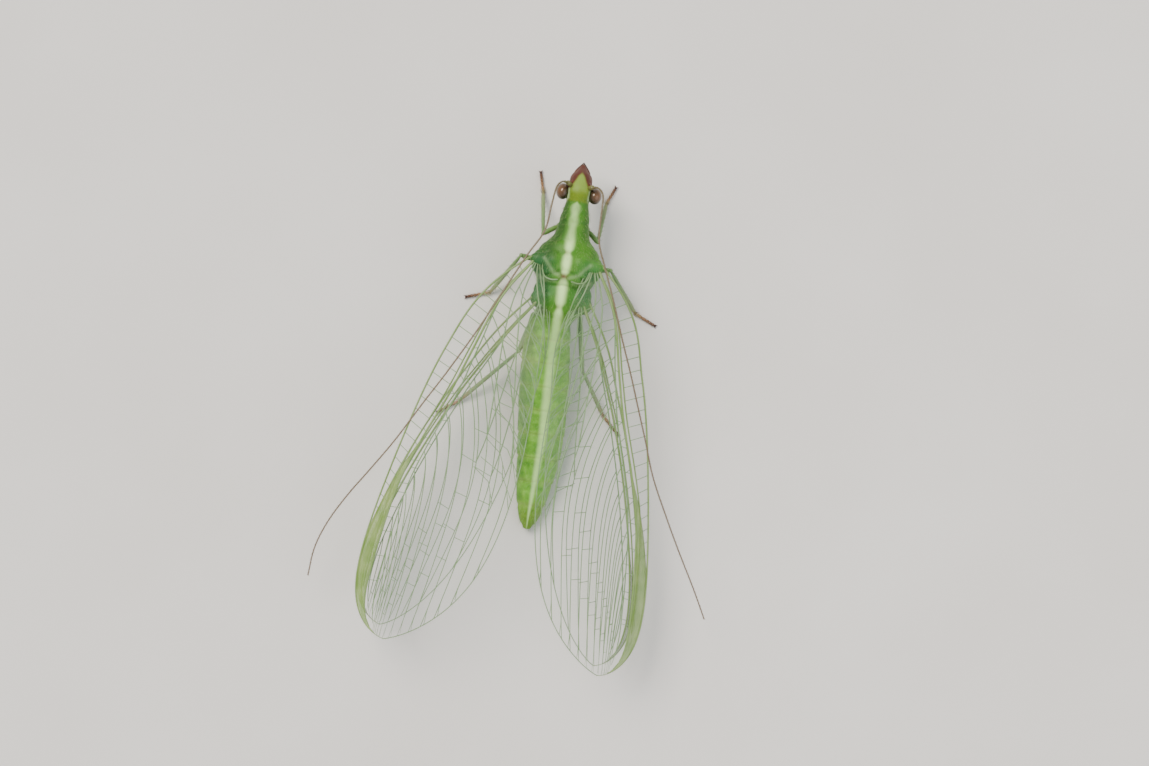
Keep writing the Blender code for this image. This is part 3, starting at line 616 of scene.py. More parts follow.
# Eyes
# Two compound eyes, each a dome of some thousand tiny lenses in clear, hard cuticle over a
# golden-brown layer. They sit in the sides of the head. Their golden sheen is painted on where
# each faces up and out, and fades to painted shade, dark brown, round the rim.
# Direction that the painted golden sheen of the right eye faces
PAINTED_SHEEN_DIRECTION = Vector((0.50, 0.10, 0.86))
# How far the middle of each lens stands out, as a share of the eye's radius
LENS_RISE = 0.018
# Angle from that direction at which the painted sheen has faded to the painted shade of the rim
PAINTED_SHEEN_REACH = math.radians(100)


def colour_by_mark(tree, shader, name, noise, spread, stops):
    """Colours by a mark stored on the mesh, from 0 to 1, which noise shifts within a spread."""
    mark = add_node(tree, "Attribute", {"attribute_name": name}).outputs["Fac"]
    shifted = add_node(tree, "Math", {"operation": "MULTIPLY_ADD", 1: spread, 2: -spread / 2}, {0: noise})
    whole = add_node(tree, "Math", {"operation": "ADD"}, {0: mark, 1: shifted.outputs[0]})
    tone = add_node(tree, "ValToRGB", {"stops": stops}, {"Fac": whole.outputs[0]})
    tree.links.new(tone.outputs["Color"], shader.inputs["Base Color"])


def golden_eye_cuticle():
    """Hard clear cuticle over a metal-bright layer: glossy, with a painted gold-brown sheen that fades to
    painted shade at the rim.
    """
    made, tree, shader = new_material("golden_eye_cuticle", {
        "Roughness": 0.25, "Metallic": 0.25, "Coat Weight": 0.35, "Coat Roughness": 0.15,
    })
    # Painted sheen and shade: gold-brown where the eye faces the sheen's direction, darkening to near black
    # at the rim
    stops = [(0.08, "684626"), (0.38, "553C22"), (0.66, "38291B"), (0.90, "1A150F")]
    colour_by_mark(tree, shader, "painted_sheen_rim", object_noise(tree, 0.05, 2), 0.20, stops)
    return made


eye_material = golden_eye_cuticle()
for label, side in SIDES.items():
    bm = bmesh.new()
    centres = set(bmesh.ops.create_icosphere(bm, subdivisions=5, radius=1)["verts"])
    bmesh.ops.subdivide_edges(bm, edges=bm.edges, cuts=1, use_grid_fill=True)
    painted_sheen_rims = []
    sheen_faces = Vector((PAINTED_SHEEN_DIRECTION.x * side, PAINTED_SHEEN_DIRECTION.y, PAINTED_SHEEN_DIRECTION.z)).normalized()
    for vert in bm.verts:
        direction = vert.co.normalized()
        vert.co = direction * (1 + LENS_RISE if vert in centres else 1)
        # The angle from the sheen's direction, which sets the painted sheen and rim shade
        painted_sheen_rims.append(direction.angle(sheen_faces) / PAINTED_SHEEN_REACH)
    place = Matrix.Translation((EYE_CENTRE.x * side, *EYE_CENTRE.yz)) @ Matrix.Diagonal(EYE_RADII).to_4x4()
    bmesh.ops.transform(bm, matrix=place, verts=bm.verts)
    eye = new_object(f"compound_eye_{label}", bm)
    eye.data.attributes.new("painted_sheen_rim", "FLOAT", "POINT").data.foreach_set("value", painted_sheen_rims)
    settle(eye, eye_material, (f"eye_{label}",))

# Mouthparts
# Two sickle-shaped jaws of hard, tanned cuticle, closed under the lip, and two pairs of soft
# jointed palps that hang in front of them. Each joint is a small club set in the one before.
JAW = [(0.19, 7.38, 1.54), (0.17, 7.55, 1.45), (0.075, 7.73, 1.38), (0.0, 7.87, 1.33)]
JAW_HALF_WIDTHS = [0.10, 0.08, 0.05, 0.01]
JAW_FLATNESS = 0.75
# Points and thicknesses of the joints on the right side
PALPS = {
    "long_palp": ([(0.13, 7.40, 1.42), (0.15, 7.50, 1.32), (0.14, 7.60, 1.20), (0.10, 7.70, 1.08),
                   (0.06, 7.77, 0.97)], [0.09, 0.095, 0.09, 0.08]),
    "short_palp": ([(0.06, 7.42, 1.36), (0.08, 7.50, 1.24), (0.07, 7.57, 1.12), (0.04, 7.62, 1.00)],
                   [0.08, 0.075, 0.07]),
}
ROOT_WAIST = 0.42
END_WAIST = 0.38


def smooth_rings(points, half_widths, steps, flatness=1):
    """Rings of a tapered piece along a smooth curve through points."""
    stations = [(*point, half) for point, half in zip(points, half_widths)]
    return [(Vector(s[:3]), s[3], s[3] * flatness) for s in smooth_line(stations, steps)]


def joint_rings(start, end, thickness, root=0.7, tip=1.0, spans=6):
    """Rings of one joint of a leg, palp or feeler: waisted at its root, fullest near its end."""
    rings = []
    for index in range(spans + 1):
        t = index / spans
        swell = root + (tip - root) * smooth_step(t)
        swell *= 1 - ROOT_WAIST * gauss(t, 0.10) - END_WAIST * gauss(t - 1, 0.07)
        rings.append((start.lerp(end, t), thickness / 2 * swell, thickness / 2 * swell))
    return rings


def tanned_cuticle(name, stops):
    """Cuticle that is soft and green or straw at the root and tanned browner to the tip."""
    made, tree, shader = new_material(name, {"Coat Weight": 0.1})
    mottle = object_noise(tree, 0.10, 3)
    colour_by_mark(tree, shader, "along", mottle, 0.10, stops)
    rough = add_node(tree, "MapRange", {"To Min": 0.32, "To Max": 0.52}, {"Value": mottle})
    tree.links.new(rough.outputs["Result"], shader.inputs["Roughness"])
    return made


def mark_along(obj, line):
    """Stores on each point how far along a line of points it lies, from 0 to 1."""
    whole = sum((b - a).length for a, b in zip(line, line[1:]))
    values = [nearest_on_line(vert.co, line)[1] / whole for vert in obj.data.vertices]
    obj.data.attributes.new("along", "FLOAT", "POINT").data.foreach_set("value", values)


def settle_along(name, bm, line, material, replaced=()):
    """Finishes a piece whose colour runs along a line of points."""
    piece = new_object(name, bm)
    mark_along(piece, line)
    settle(piece, material, replaced)


jaw_material = tanned_cuticle("tanned_jaw_cuticle", [(0.2, "5E2A12"), (0.75, "34160A")])
palp_material = tanned_cuticle("palp_cuticle", [(0.1, "86803A"), (0.6, "5E3218")])
for label, side in SIDES.items():
    line = [Vector((x * side, y, z)) for x, y, z in JAW]
    bm = bmesh.new()
    loft(bm, smooth_rings(line, JAW_HALF_WIDTHS, 5, JAW_FLATNESS), 14)
    settle_along(f"jaw_{label}", bm, line, jaw_material)
    for kind, (points, thicknesses) in PALPS.items():
        line = [Vector((x * side, y, z)) for x, y, z in points]
        bm = bmesh.new()
        for start, end, thickness in zip(line, line[1:], thicknesses):
            loft(bm, joint_rings(start, end, thickness), 10)
        settle_along(f"{kind}_{label}", bm, line, palp_material)

# Legs
# Six slim walking legs of pale green cuticle: hip, small ring, thigh, long straight shin and a
# foot of five joints tanned brown, with two hooked claws and a pad. Bristles line the shins.
FOOT_Z = 0.055
# Hip, start of the thigh, knee, heel and root of the claws
LEG_JOINTS = {
    ("front", "left"): [(-0.28, 5.80, 1.60), (-0.42, 5.84, 1.08), (-0.90, 5.50, 1.22),
                        (-1.11, 6.78, 0.10), (-1.28, 7.36, FOOT_Z)],
    ("front", "right"): [(0.28, 5.80, 1.60), (0.42, 5.84, 1.08), (0.82, 5.50, 1.22),
                         (0.89, 6.75, 0.10), (1.09, 7.26, FOOT_Z)],
    ("mid", "left"): [(-0.40, 4.62, 1.34), (-0.55, 4.60, 0.72), (-1.46, 4.72, 1.34),
                      (-2.24, 3.44, 0.10), (-2.94, 3.18, FOOT_Z)],
    ("mid", "right"): [(0.40, 4.62, 1.34), (0.55, 4.60, 0.72), (1.36, 4.70, 1.34),
                       (2.33, 3.52, 0.10), (2.99, 3.24, FOOT_Z)],
    ("hind", "left"): [(-0.40, 3.50, 1.34), (-0.58, 3.42, 0.66), (-1.04, 1.78, 0.98),
                       (-2.64, -0.06, 0.10), (-3.24, -0.51, FOOT_Z)],
    ("hind", "right"): [(0.40, 3.50, 1.34), (0.58, 3.42, 0.66), (1.00, 1.50, 0.98),
                        (1.86, 0.21, 0.10), (2.42, -0.30, FOOT_Z)],
}
HIP_THICKNESS = 0.34
RING_SHARE = 0.12
RING_THICKNESS = 1.05
THIGH_THICKNESS = 0.19
KNEE_SHARE = 0.52
SHIN_THICKNESS = 0.13
TOE_THICKNESS = 0.115
TOE_SHARES = [0, 0.34, 0.54, 0.70, 0.83, 0.95]
# Spurs at the heel and claws at the tip, as distances ahead, beside and above
SPUR = [(-0.02, 0.05), (0.13, 0.08)]
SPUR_HALF_WIDTHS = [(0, 0.014), (0.6, 0.010), (1, 0.002)]
CLAW = [(0, 0, 0), (0.07, 0.035, 0.02), (0.12, 0.06, -0.045)]
CLAW_HALF_WIDTHS = [0.022, 0.016, 0.003]
PAD_AHEAD = 0.05
PAD_Z = 0.03
PAD_RADII = (0.04, 0.05, 0.025)
SOLE_GAP = 0.001
BRISTLE_LENGTH = 0.15
BRISTLE_THICKNESS = 0.011
BRISTLE_TURN = math.radians(137.5)
BRISTLE_LEAN = 0.9
# Radius they stand on, how many, their length and their part of the map, on thigh, shin and foot
LEG_BRISTLES = [
    (THIGH_THICKNESS * 0.40, 34, BRISTLE_LENGTH * 0.8, (0, 0.3)),
    (SHIN_THICKNESS * 0.46, 60, BRISTLE_LENGTH, (0.3, 0.7)),
    (TOE_THICKNESS * 0.42, 26, BRISTLE_LENGTH * 0.55, (0.7, 0.99)),
]


def bristles_on(coat, start, end, radius, count, length, lean, shares):
    """Adds bristles all round a straight length, leaning towards its end."""
    along = (end - start).normalized()
    out = along.orthogonal().normalized()
    for index in range(count):
        t = (index + random.random()) / count
        angle = index * BRISTLE_TURN % (2 * math.pi)
        around = Matrix.Rotation(angle, 3, along) @ out
        root = start.lerp(end, t) + around * radius * 0.9
        direction = around + along * lean
        size = length * random.uniform(0.75, 1.15)
        spot = (shares[0] + (shares[1] - shares[0]) * t, angle / (2 * math.pi) * UNWRAP_SHARE)
        if (root + direction.normalized() * size).z > 0.01:
            bristle(coat, root, direction, size, BRISTLE_THICKNESS, spot)


leg_stops = [(0.10, "56802E"), (0.50, "6A8850"), (0.78, "7A8858"), (0.88, "8A6844"), (1.0, "553524")]
leg_material = tanned_cuticle("pale_green_leg_cuticle", leg_stops)
bristle_material = tanned_cuticle("bristle_cuticle", [(0.3, "6E6E48"), (0.9, "4E3A28")])
for (place, label), joints in LEG_JOINTS.items():
    hip, thigh, knee, heel, claws = line = [Vector(joint) for joint in joints]
    bm = bmesh.new()
    loft(bm, joint_rings(hip, thigh, HIP_THICKNESS, 1.1, 0.62, 8), 14)
    ring_end = thigh.lerp(knee, RING_SHARE)
    loft(bm, joint_rings(thigh, ring_end, THIGH_THICKNESS * RING_THICKNESS, 0.9, 0.9, 6), 12)
    loft(bm, joint_rings(ring_end, knee, THIGH_THICKNESS, 0.80, 0.85, 12), 12)
    ball(bm, knee, (SHIN_THICKNESS * KNEE_SHARE,) * 3, 12, 8)
    loft(bm, joint_rings(knee, heel, SHIN_THICKNESS, 0.88, 1.05, 14), 12)
    toes = [heel.lerp(claws, share) for share in TOE_SHARES]
    for start, end in zip(toes, toes[1:]):
        loft(bm, joint_rings(start, end, TOE_THICKNESS, 0.72, 1.0, 6), 10)
    ahead = (claws - heel).normalized()
    beside = ahead.cross(Vector((0, 0, 1))).normalized()
    for spread in (-1, 1):
        start, end = (heel + ahead * forward + beside * aside * spread for forward, aside in SPUR)
        loft(bm, [(start.lerp(end, share), half, half) for share, half in SPUR_HALF_WIDTHS], 6)
    pad = toes[-1] + ahead * PAD_AHEAD
    ball(bm, (pad.x, pad.y, PAD_Z), PAD_RADII, 10, 6)
    for vert in bm.verts:
        vert.co.z = max(vert.co.z, SOLE_GAP)
    settle_along(f"walking_leg_{place}_{label}", bm, line, leg_material, (f"leg_{place}_{label}",))

    bm = bmesh.new()
    for spread in (-1, 1):
        hook = [toes[-1] + ahead * forward + beside * aside * spread + Vector((0, 0, up))
                for forward, aside, up in CLAW]
        loft(bm, smooth_rings(hook, CLAW_HALF_WIDTHS, 4), 8)
    settle_along(f"claws_{place}_{label}", bm, [toes[-1], claws], jaw_material)

    coat = new_coat()
    for start, end, (radius, count, length, shares) in zip(line[1:], line[2:], LEG_BRISTLES):
        bristles_on(coat, start, end, radius, count, length, BRISTLE_LEAN, shares)
    settle_along(f"leg_bristles_{place}_{label}", coat[0], line, bristle_material)

# Wings
# Four wings of clear, glassy membrane a few microns thick, stiffened by a net of hollow green
# veins. The front two lie like a low roof over the hind two. Each is hinged on a small plate.
ROOF_ROLL = {"left": math.radians(23), "right": math.radians(34)}
ROOF_ROOT_Z = 2.32
ROOF_AXIS_Z = 2.92
ROOF_TIP_DROP = 0.45
ROOF_RISE_SHARE = 0.28
ROOF_DROOP_SHARE = 0.60
# Margins, ends in plan, and tables and counts for the veins. A table runs along the wing's length
FORE_SHAPE = {
    "costal": (1.90, 6.0, 1.0, 10.0, 0.5), "inner": (2.72, 2.2, 0.9, 6.0, 0.85),
    "drop": [(0.0, 0.0), (1.0, 0.0)],
    "lines": {"left": ((-1.04, 4.72), (-3.74, -7.70)), "right": ((0.96, 4.80), (3.00, -7.75))},
    "radius": [(0.0, 0.40), (0.05, 0.31), (0.10, 0.28), (0.22, 0.275), (0.36, 0.24), (0.43, 0.20),
               (0.50, 0.155), (0.60, 0.108), (0.67, 0.104), (0.75, 0.115), (0.85, 0.13), (1.0, 0.12)],
    "rays": 13, "basal_rays": 8, "costals": 24, "radials": 12, "first_ray": 0.17, "last_ray": 0.80,
    "forks": True, "stigma_start": 0.48,
}
HIND_SHAPE = {
    "costal": (1.80, 3.0, 1.0, 9.0, 0.5), "inner": (1.85, 3.0, 0.7, 5.0, 0.8),
    "drop": [(0.0, 0.52), (0.06, 0.54), (0.26, 0.80), (1.0, 0.80)],
    "lines": {"left": ((-0.72, 3.62), (-3.94, -7.30)), "right": ((0.74, 3.66), (2.84, -7.48))},
    "radius": [(0.0, 0.40), (0.06, 0.24), (0.15, 0.18), (0.30, 0.12), (0.50, 0.10), (0.70, 0.09),
               (1.0, 0.08)],
    "rays": 11, "basal_rays": 6, "costals": 18, "radials": 10, "first_ray": 0.16, "last_ray": 0.78,
    "forks": False, "stigma_start": 0.64,
}
SECTOR_START = 0.12
SECTOR_GAP = [(0.12, 0), (0.20, 0.035), (0.35, 0.06), (0.60, 0.07), (0.80, 0.085), (0.90, 0.11), (1, 0.17)]
SUBCOSTA_GAP = 0.036
# Two rows across the rays, each one unbroken vein as far as its stem's end and then steps
UPPER_ROW = [(0.0, 0.50), (0.08, 0.44), (0.16, 0.50), (0.30, 0.60), (0.45, 0.66), (0.60, 0.66),
             (0.70, 0.58), (0.80, 0.46), (0.90, 0.33), (1.0, 0.24)]
UPPER_STEM_END = 0.60
LOWER_ROW = [(0.0, 0.60), (0.08, 0.56), (0.16, 0.66), (0.30, 0.79), (0.45, 0.86), (0.56, 0.87),
             (0.68, 0.80), (0.80, 0.67), (0.90, 0.51), (1.0, 0.38)]
LOWER_STEM_END = 0.55
# First share and span of the short veins before the subcosta, before the sector and at the root,
# and the share of the length by which each lies further out at its end
COSTAL_SHARES = (0.03, 0.74)
COSTAL_SLANT = 0.012
RADIAL_SHARES = (0.20, 0.68)
RADIAL_SLANT = -0.006
BASAL_SHARES = (0.10, 0.42)
BASAL_SLANT = 0.035
BASAL_SLANT_MORE = 0.02
BASAL_FORK = 0.022
ROOT_CROSS_SHARES = (0.09, 0.13, 0.155)
# The long rays leave the sector steeply, run towards the tip and fork before the margin
RAY_STEP = 0.006
RAY_STEPS_OUTSIDE = 5
RAY_SLOPE = 0.20
RAY_REAR_SLOPE_LOSS = 0.24
RAY_ROOT_SLOPE = 0.75
RAY_FIRST_SLOPE = 0.42
RAY_FIRST_REACH = 0.07
FORK_START = 0.89
FORK_OPENING = 0.0085
ROOT_WIDTH = {"costal": 0.07, "inner": 0.24}
PLEAT_HEIGHT = 0.035
PLEAT_WIDTH = 0.14
MEMBRANE_THICKNESS = 0.016
MEMBRANE_START = 0.012
MEMBRANE_END = 0.999
STIGMA_THICKNESS = 0.032
STIGMA_END = 0.995
STIGMA_FULL_AFTER = 0.32
TIP_SHARE = 0.94
VEIN_THICKNESS = {"costa": 0.060, "radius": 0.070, "subcosta": 0.050, "sector": 0.044, "stem": 0.040,
                  "ray": 0.032, "fork": 0.024, "cross": 0.024, "rear": 0.034}
FRONT_VEINS = ("costa", "radius", "subcosta")
# Hairs along the veins: how far apart, and how far they lean outwards, forwards and up
VEIN_HAIRS = {"costa": (0.10, 1, 0.6, 0.1), "rear": (0.09, -1, 0.8, 0)}
OTHER_VEIN_HAIRS = (0.22, 0, 1.2, 1)
BARE_VEINS = ("cross", "fork")
FRINGE_LENGTHS = (0.08, 0.13)
FRINGE_THICKNESS = 0.008


class Wing:
    """One wing. A flat place is (share of length, mm from the line root to tip)."""

    def __init__(self, label, shape):
        self.shape = shape
        self.side = SIDES[label]
        self.roll = ROOF_ROLL[label]
        self.root, tip = (Vector(end) for end in shape["lines"][label])
        self.length = (tip - self.root).length
        self.along = (tip - self.root) / self.length
        self.roof_root, roof_tip = (Vector(end) for end in FORE_SHAPE["lines"][label])
        self.roof_length = (roof_tip - self.roof_root).length
        self.roof_along = (roof_tip - self.roof_root) / self.roof_length

    def inward(self, along):
        """The plan direction at right angles to one along the wing, towards the body."""
        return Vector((along.y, -along.x)) * self.side

    def margin(self, share, kind):
        """Distance of a margin from the line root to tip, which opens and closes by powers."""
        reach, root_power, root_softness, tip_power, tip_softness = self.shape[kind]
        share = min(max(share, 0), 1)
        root_part = (1 - (1 - share) ** root_power) ** root_softness
        root_part += ROOT_WIDTH[kind] / reach * (1 - root_part)
        return reach * root_part * (1 - share**tip_power) ** tip_softness

    def at(self, share, across):
        """Flat place from a share across the wing, 0 at the front margin and 1 at the rear one."""
        front = self.margin(share, "costal")
        return Vector((share, across * (front + self.margin(share, "inner")) - front))

    def on(self, row, share):
        """Flat place on a row, which gives the share across the wing at a share of its length."""
        return self.at(share, row(share))

    def across(self, flat):
        """Share across the wing of a flat place."""
        front = self.margin(flat.x, "costal")
        whole = front + self.margin(flat.x, "inner")
        return (flat.y + front) / whole if whole > 1e-6 else 1

    def roof(self, x, y):
        """Height of the front wing over the plan."""
        away = Vector((x, y)) - self.roof_root
        share = away.dot(self.roof_along) / self.roof_length
        rise = smooth_step(share / ROOF_RISE_SHARE)
        droop = max(share - ROOF_DROOP_SHARE, 0) ** 2 / (1 - ROOF_DROOP_SHARE) ** 2
        axis = ROOF_ROOT_Z + (ROOF_AXIS_Z - ROOF_ROOT_Z) * rise - ROOF_TIP_DROP * droop
        return axis + away.dot(self.inward(self.roof_along)) * math.tan(self.roll * rise)

    def place(self, flat):
        """Lays a flat place in the roof."""
        narrowing = math.cos(self.roll * smooth_step(flat.x / ROOF_RISE_SHARE))
        plan = self.root + self.along * flat.x * self.length
        plan += self.inward(self.along) * flat.y * narrowing
        drop = softened(self.shape["drop"], flat.x)
        return Vector((*plan, self.roof(*plan) - drop + self.pleat(flat)))

    def pleat(self, flat):
        """The membrane is folded like a fan, deepest along the front veins."""
        behind = self.across(flat) - self.radius(flat.x)
        front = PLEAT_HEIGHT * math.cos(behind * 2 * math.pi / PLEAT_WIDTH) * gauss(behind, PLEAT_WIDTH)
        return front * smooth_step(flat.x / 0.1) * smooth_step((1 - flat.x) / 0.1)

    def inside(self, flat):
        return flat.x < 1 and -self.margin(flat.x, "costal") < flat.y < self.margin(flat.x, "inner")

    def costa(self, share):
        return 0

    def subcosta(self, share):
        return max(self.radius(share) - SUBCOSTA_GAP, 0)

    def radius(self, share):
        return softened(self.shape["radius"], share)

    def sector(self, share):
        return self.radius(share) + softened(SECTOR_GAP, share)

    def upper_row(self, share):
        return softened(UPPER_ROW, share)

    def lower_row(self, share):
        return softened(LOWER_ROW, share)

    def rear(self, share):
        return 1

    def membrane_place(self, share, across):
        """Flat place in the membrane's grid, whose steps shorten towards the tip."""
        even = 1 - (1 - share) ** 1.5
        return self.at(MEMBRANE_START + (MEMBRANE_END - MEMBRANE_START) * even, across)

    def stigma_place(self, share, across):
        """Flat place in the filled strip, which widens from its start to all before the radius."""
        start = self.shape["stigma_start"]
        even = 1 - (1 - share) ** 1.6
        along = start + (STIGMA_END - start) * even
        full = smooth_step((along - start) / STIGMA_FULL_AFTER)
        return self.at(along, self.radius(along) * (1 - full * across))


def cut_at_margin(wing, line):
    """The part of a line inside the wing, ended on the margin."""
    kept = []
    for flat in line:
        if not wing.inside(flat):
            within, beyond = kept[-1] if kept else flat, flat
            for _ in range(8):
                middle = (within + beyond) / 2
                within, beyond = (middle, beyond) if wing.inside(middle) else (within, middle)
            kept.append(within)
            break
        kept.append(flat)
    return kept


def ray_line(wing, start_share):
    """One long vein from the sector to beyond the margin, turning to the tip as real ones do."""
    flat = wing.on(wing.sector, start_share)
    line = [flat]
    steps_outside = 0
    while steps_outside < RAY_STEPS_OUTSIDE:
        across = min(wing.across(flat), 1)
        near = math.exp(-max(across - wing.sector(flat.x), 0) / RAY_FIRST_REACH)
        root = smooth_step((0.74 - flat.x) / 0.6)
        slope = RAY_SLOPE - RAY_REAR_SLOPE_LOSS * across
        slope += RAY_ROOT_SLOPE * root * (0.35 + 0.65 * smooth_step(across / 0.5))
        slope += RAY_FIRST_SLOPE * near * (1 - 0.6 * smooth_step((flat.x - 0.5) / 0.35))
        flat = flat + Vector((RAY_STEP, slope * RAY_STEP * wing.length))
        line.append(flat)
        steps_outside += not wing.inside(flat)
    return line


def even_line(wing, row, first, last, spans=60):
    """A vein along a row, in even steps."""
    return [wing.on(row, first + (last - first) * index / spans) for index in range(spans + 1)]


def round_tip(wing, row):
    """A margin from near the tip to the very tip, in steps that shorten as it turns."""
    return [wing.on(row, 1 - (1 - TIP_SHARE) * (1 - index / 24) ** 2.5) for index in range(25)]


def straight(start, end, spans=3):
    return [start.lerp(end, index / spans) for index in range(spans + 1)]


def spread_out(first, span, count):
    return [first + span * index / (count - 1) for index in range(count)]


def crossing(wing, line, row):
    """Where a long vein first passes a row, or None."""
    return next((flat for flat in line if wing.inside(flat) and wing.across(flat) > row(flat.x)), None)


def vein_net(wing):
    """Every vein of a wing as (kind, flat line)."""
    shape = wing.shape
    spacing = (shape["last_ray"] - shape["first_ray"]) / (shape["rays"] - 1)
    rays = [ray_line(wing, shape["first_ray"] + spacing * index) for index in range(shape["rays"])]
    veins = [
        ("costa", even_line(wing, wing.costa, 0.0, TIP_SHARE, 90) + round_tip(wing, wing.costa)),
        ("rear", even_line(wing, wing.rear, 0.02, TIP_SHARE, 90) + round_tip(wing, wing.rear)),
        ("radius", even_line(wing, wing.radius, 0.0, 0.985)),
        ("subcosta", even_line(wing, wing.subcosta, 0.0, 0.90)),
        ("sector", even_line(wing, wing.sector, SECTOR_START, 0.975)),
        ("stem", even_line(wing, lambda share: min(0.68 + 2.2 * share, 1), 0.01, 0.15, 14)),
        ("ray", even_line(wing, lambda share: min(0.80 + 2.4 * share, 1), 0.01, 0.085, 9)),
    ]
    for share in spread_out(*COSTAL_SHARES, shape["costals"]):
        end = wing.on(wing.subcosta, share + COSTAL_SLANT)
        veins.append(("cross", straight(wing.on(wing.costa, share), end)))
    for share in spread_out(*RADIAL_SHARES, shape["radials"]):
        end = wing.on(wing.sector, share + RADIAL_SLANT)
        veins.append(("cross", straight(wing.on(wing.radius, share), end)))
    for index, share in enumerate(spread_out(*BASAL_SHARES, shape["basal_rays"])):
        start = wing.on(wing.lower_row, share)
        end_share = share + BASAL_SLANT + BASAL_SLANT_MORE * index / shape["basal_rays"]
        end = wing.on(wing.rear, end_share)
        veins.append(("fork", straight(start, end, 6)))
        fork_end = wing.on(wing.rear, end_share + BASAL_FORK)
        veins.append(("fork", straight(start.lerp(end, 0.5), fork_end, 4)))
        veins.append(("cross", straight(wing.on(wing.upper_row, share - 0.02), start, 4)))
    for share in ROOT_CROSS_SHARES:
        end = wing.on(wing.upper_row, share + 0.01)
        veins.append(("cross", straight(wing.on(wing.radius, share), end, 4)))
    for row, stem_end in ((wing.upper_row, UPPER_STEM_END), (wing.lower_row, LOWER_STEM_END)):
        meetings = [crossing(wing, line, row) for line in rays]
        last = max(met.x for met in meetings if met and met.x < stem_end)
        veins.append(("stem", even_line(wing, row, 0.0, last)))
        for met, after in zip(meetings, rays[1:]):
            if met and met.x >= last:
                other = min(after, key=lambda flat: abs(flat.x - met.x + 0.004))
                if wing.inside(other):
                    veins.append(("cross", straight(met, other)))
    for index, line in enumerate(rays):
        within = cut_at_margin(wing, line)
        veins.append(("ray", within[::3] + [within[-1]]))
        if index < len(rays) - 2 and shape["forks"]:
            opening = FORK_OPENING * wing.length
            branch = [flat + Vector((0, opening * smooth_step(step / 14) * min(step / 8, 1)))
                      for step, flat in enumerate(line[int(len(within) * FORK_START):])]
            veins.append(("fork", cut_at_margin(wing, branch)[::2]))
    return veins


def tube_mesh(name, lines):
    """Round tubes along lines of points, as one mesh. A line is (points, thicknesses)."""
    curve = bpy.data.curves.new(name, "CURVE")
    curve.dimensions = "3D"
    curve.bevel_depth = 1
    curve.bevel_resolution = 1
    curve.use_fill_caps = True
    for points, thicknesses in lines:
        spline = curve.splines.new("POLY")
        spline.points.add(len(points) - 1)
        for held, point, thickness in zip(spline.points, points, thicknesses):
            held.co = (*point, 1)
            held.radius = thickness / 2
    holder = placed(name, curve)
    bm = bmesh.new()
    bm.from_mesh(shaped_mesh(holder))
    bpy.data.objects.remove(holder)
    bmesh.ops.remove_doubles(bm, verts=bm.verts, dist=1e-5)
    return new_object(name, bm)


def film_mesh(name, wing, place, shares, across_shares, thickness):
    """A thin film over a part of a wing, whose grid runs in even shares that place() turns flat."""
    bm = bmesh.new()
    for vert in bmesh.ops.create_grid(bm, x_segments=shares, y_segments=across_shares, size=0.5)["verts"]:
        vert.co = wing.place(place(vert.co.x + 0.5, vert.co.y + 0.5))
    made = new_object(name, bm)
    film = made.modifiers.new("Film", "SOLIDIFY")
    film.thickness = thickness
    film.offset = 0
    apply_modifiers(made)
    return made


# Glass-clear film with a faint milky green cast and oil-film colours, in clouds a few cells wide
membrane_material = mottled_material("clear_wing_membrane", {
    "Roughness": 0.14, "Alpha": 0.028, "IOR": 1.56, "Thin Film Thickness": 420, "Thin Film IOR": 1.4,
}, 1.6, 3, [(0.34, "93AE86"), (0.50, "A6B8A8"), (0.64, "B9B6AE")])
# The thickened strip between the front veins: the same film, filled with yellow-green
stigma_materials = {
    "fore": mottled_material("filled_stigma_membrane", {"Roughness": 0.4, "Alpha": 0.62},
                             0.5, 3, [(0.35, "739638"), (0.65, "8FA858")]),
    "hind": mottled_material("pale_stigma_membrane", {"Roughness": 0.4, "Alpha": 0.35},
                             0.5, 3, [(0.35, "7C9A48"), (0.65, "93A868")]),
}
# Hollow veins of green cuticle, satin, greener where they are thick
vein_materials = {
    "front_veins": mottled_material("green_front_vein", {"Roughness": 0.45}, 0.6, 3,
                                    [(0.3, "68883A"), (0.7, "7E945A")]),
    "vein_net": mottled_material("pale_green_vein", {"Roughness": 0.45}, 0.6, 3,
                                 [(0.3, "668A4E"), (0.7, "7C986A")]),
}
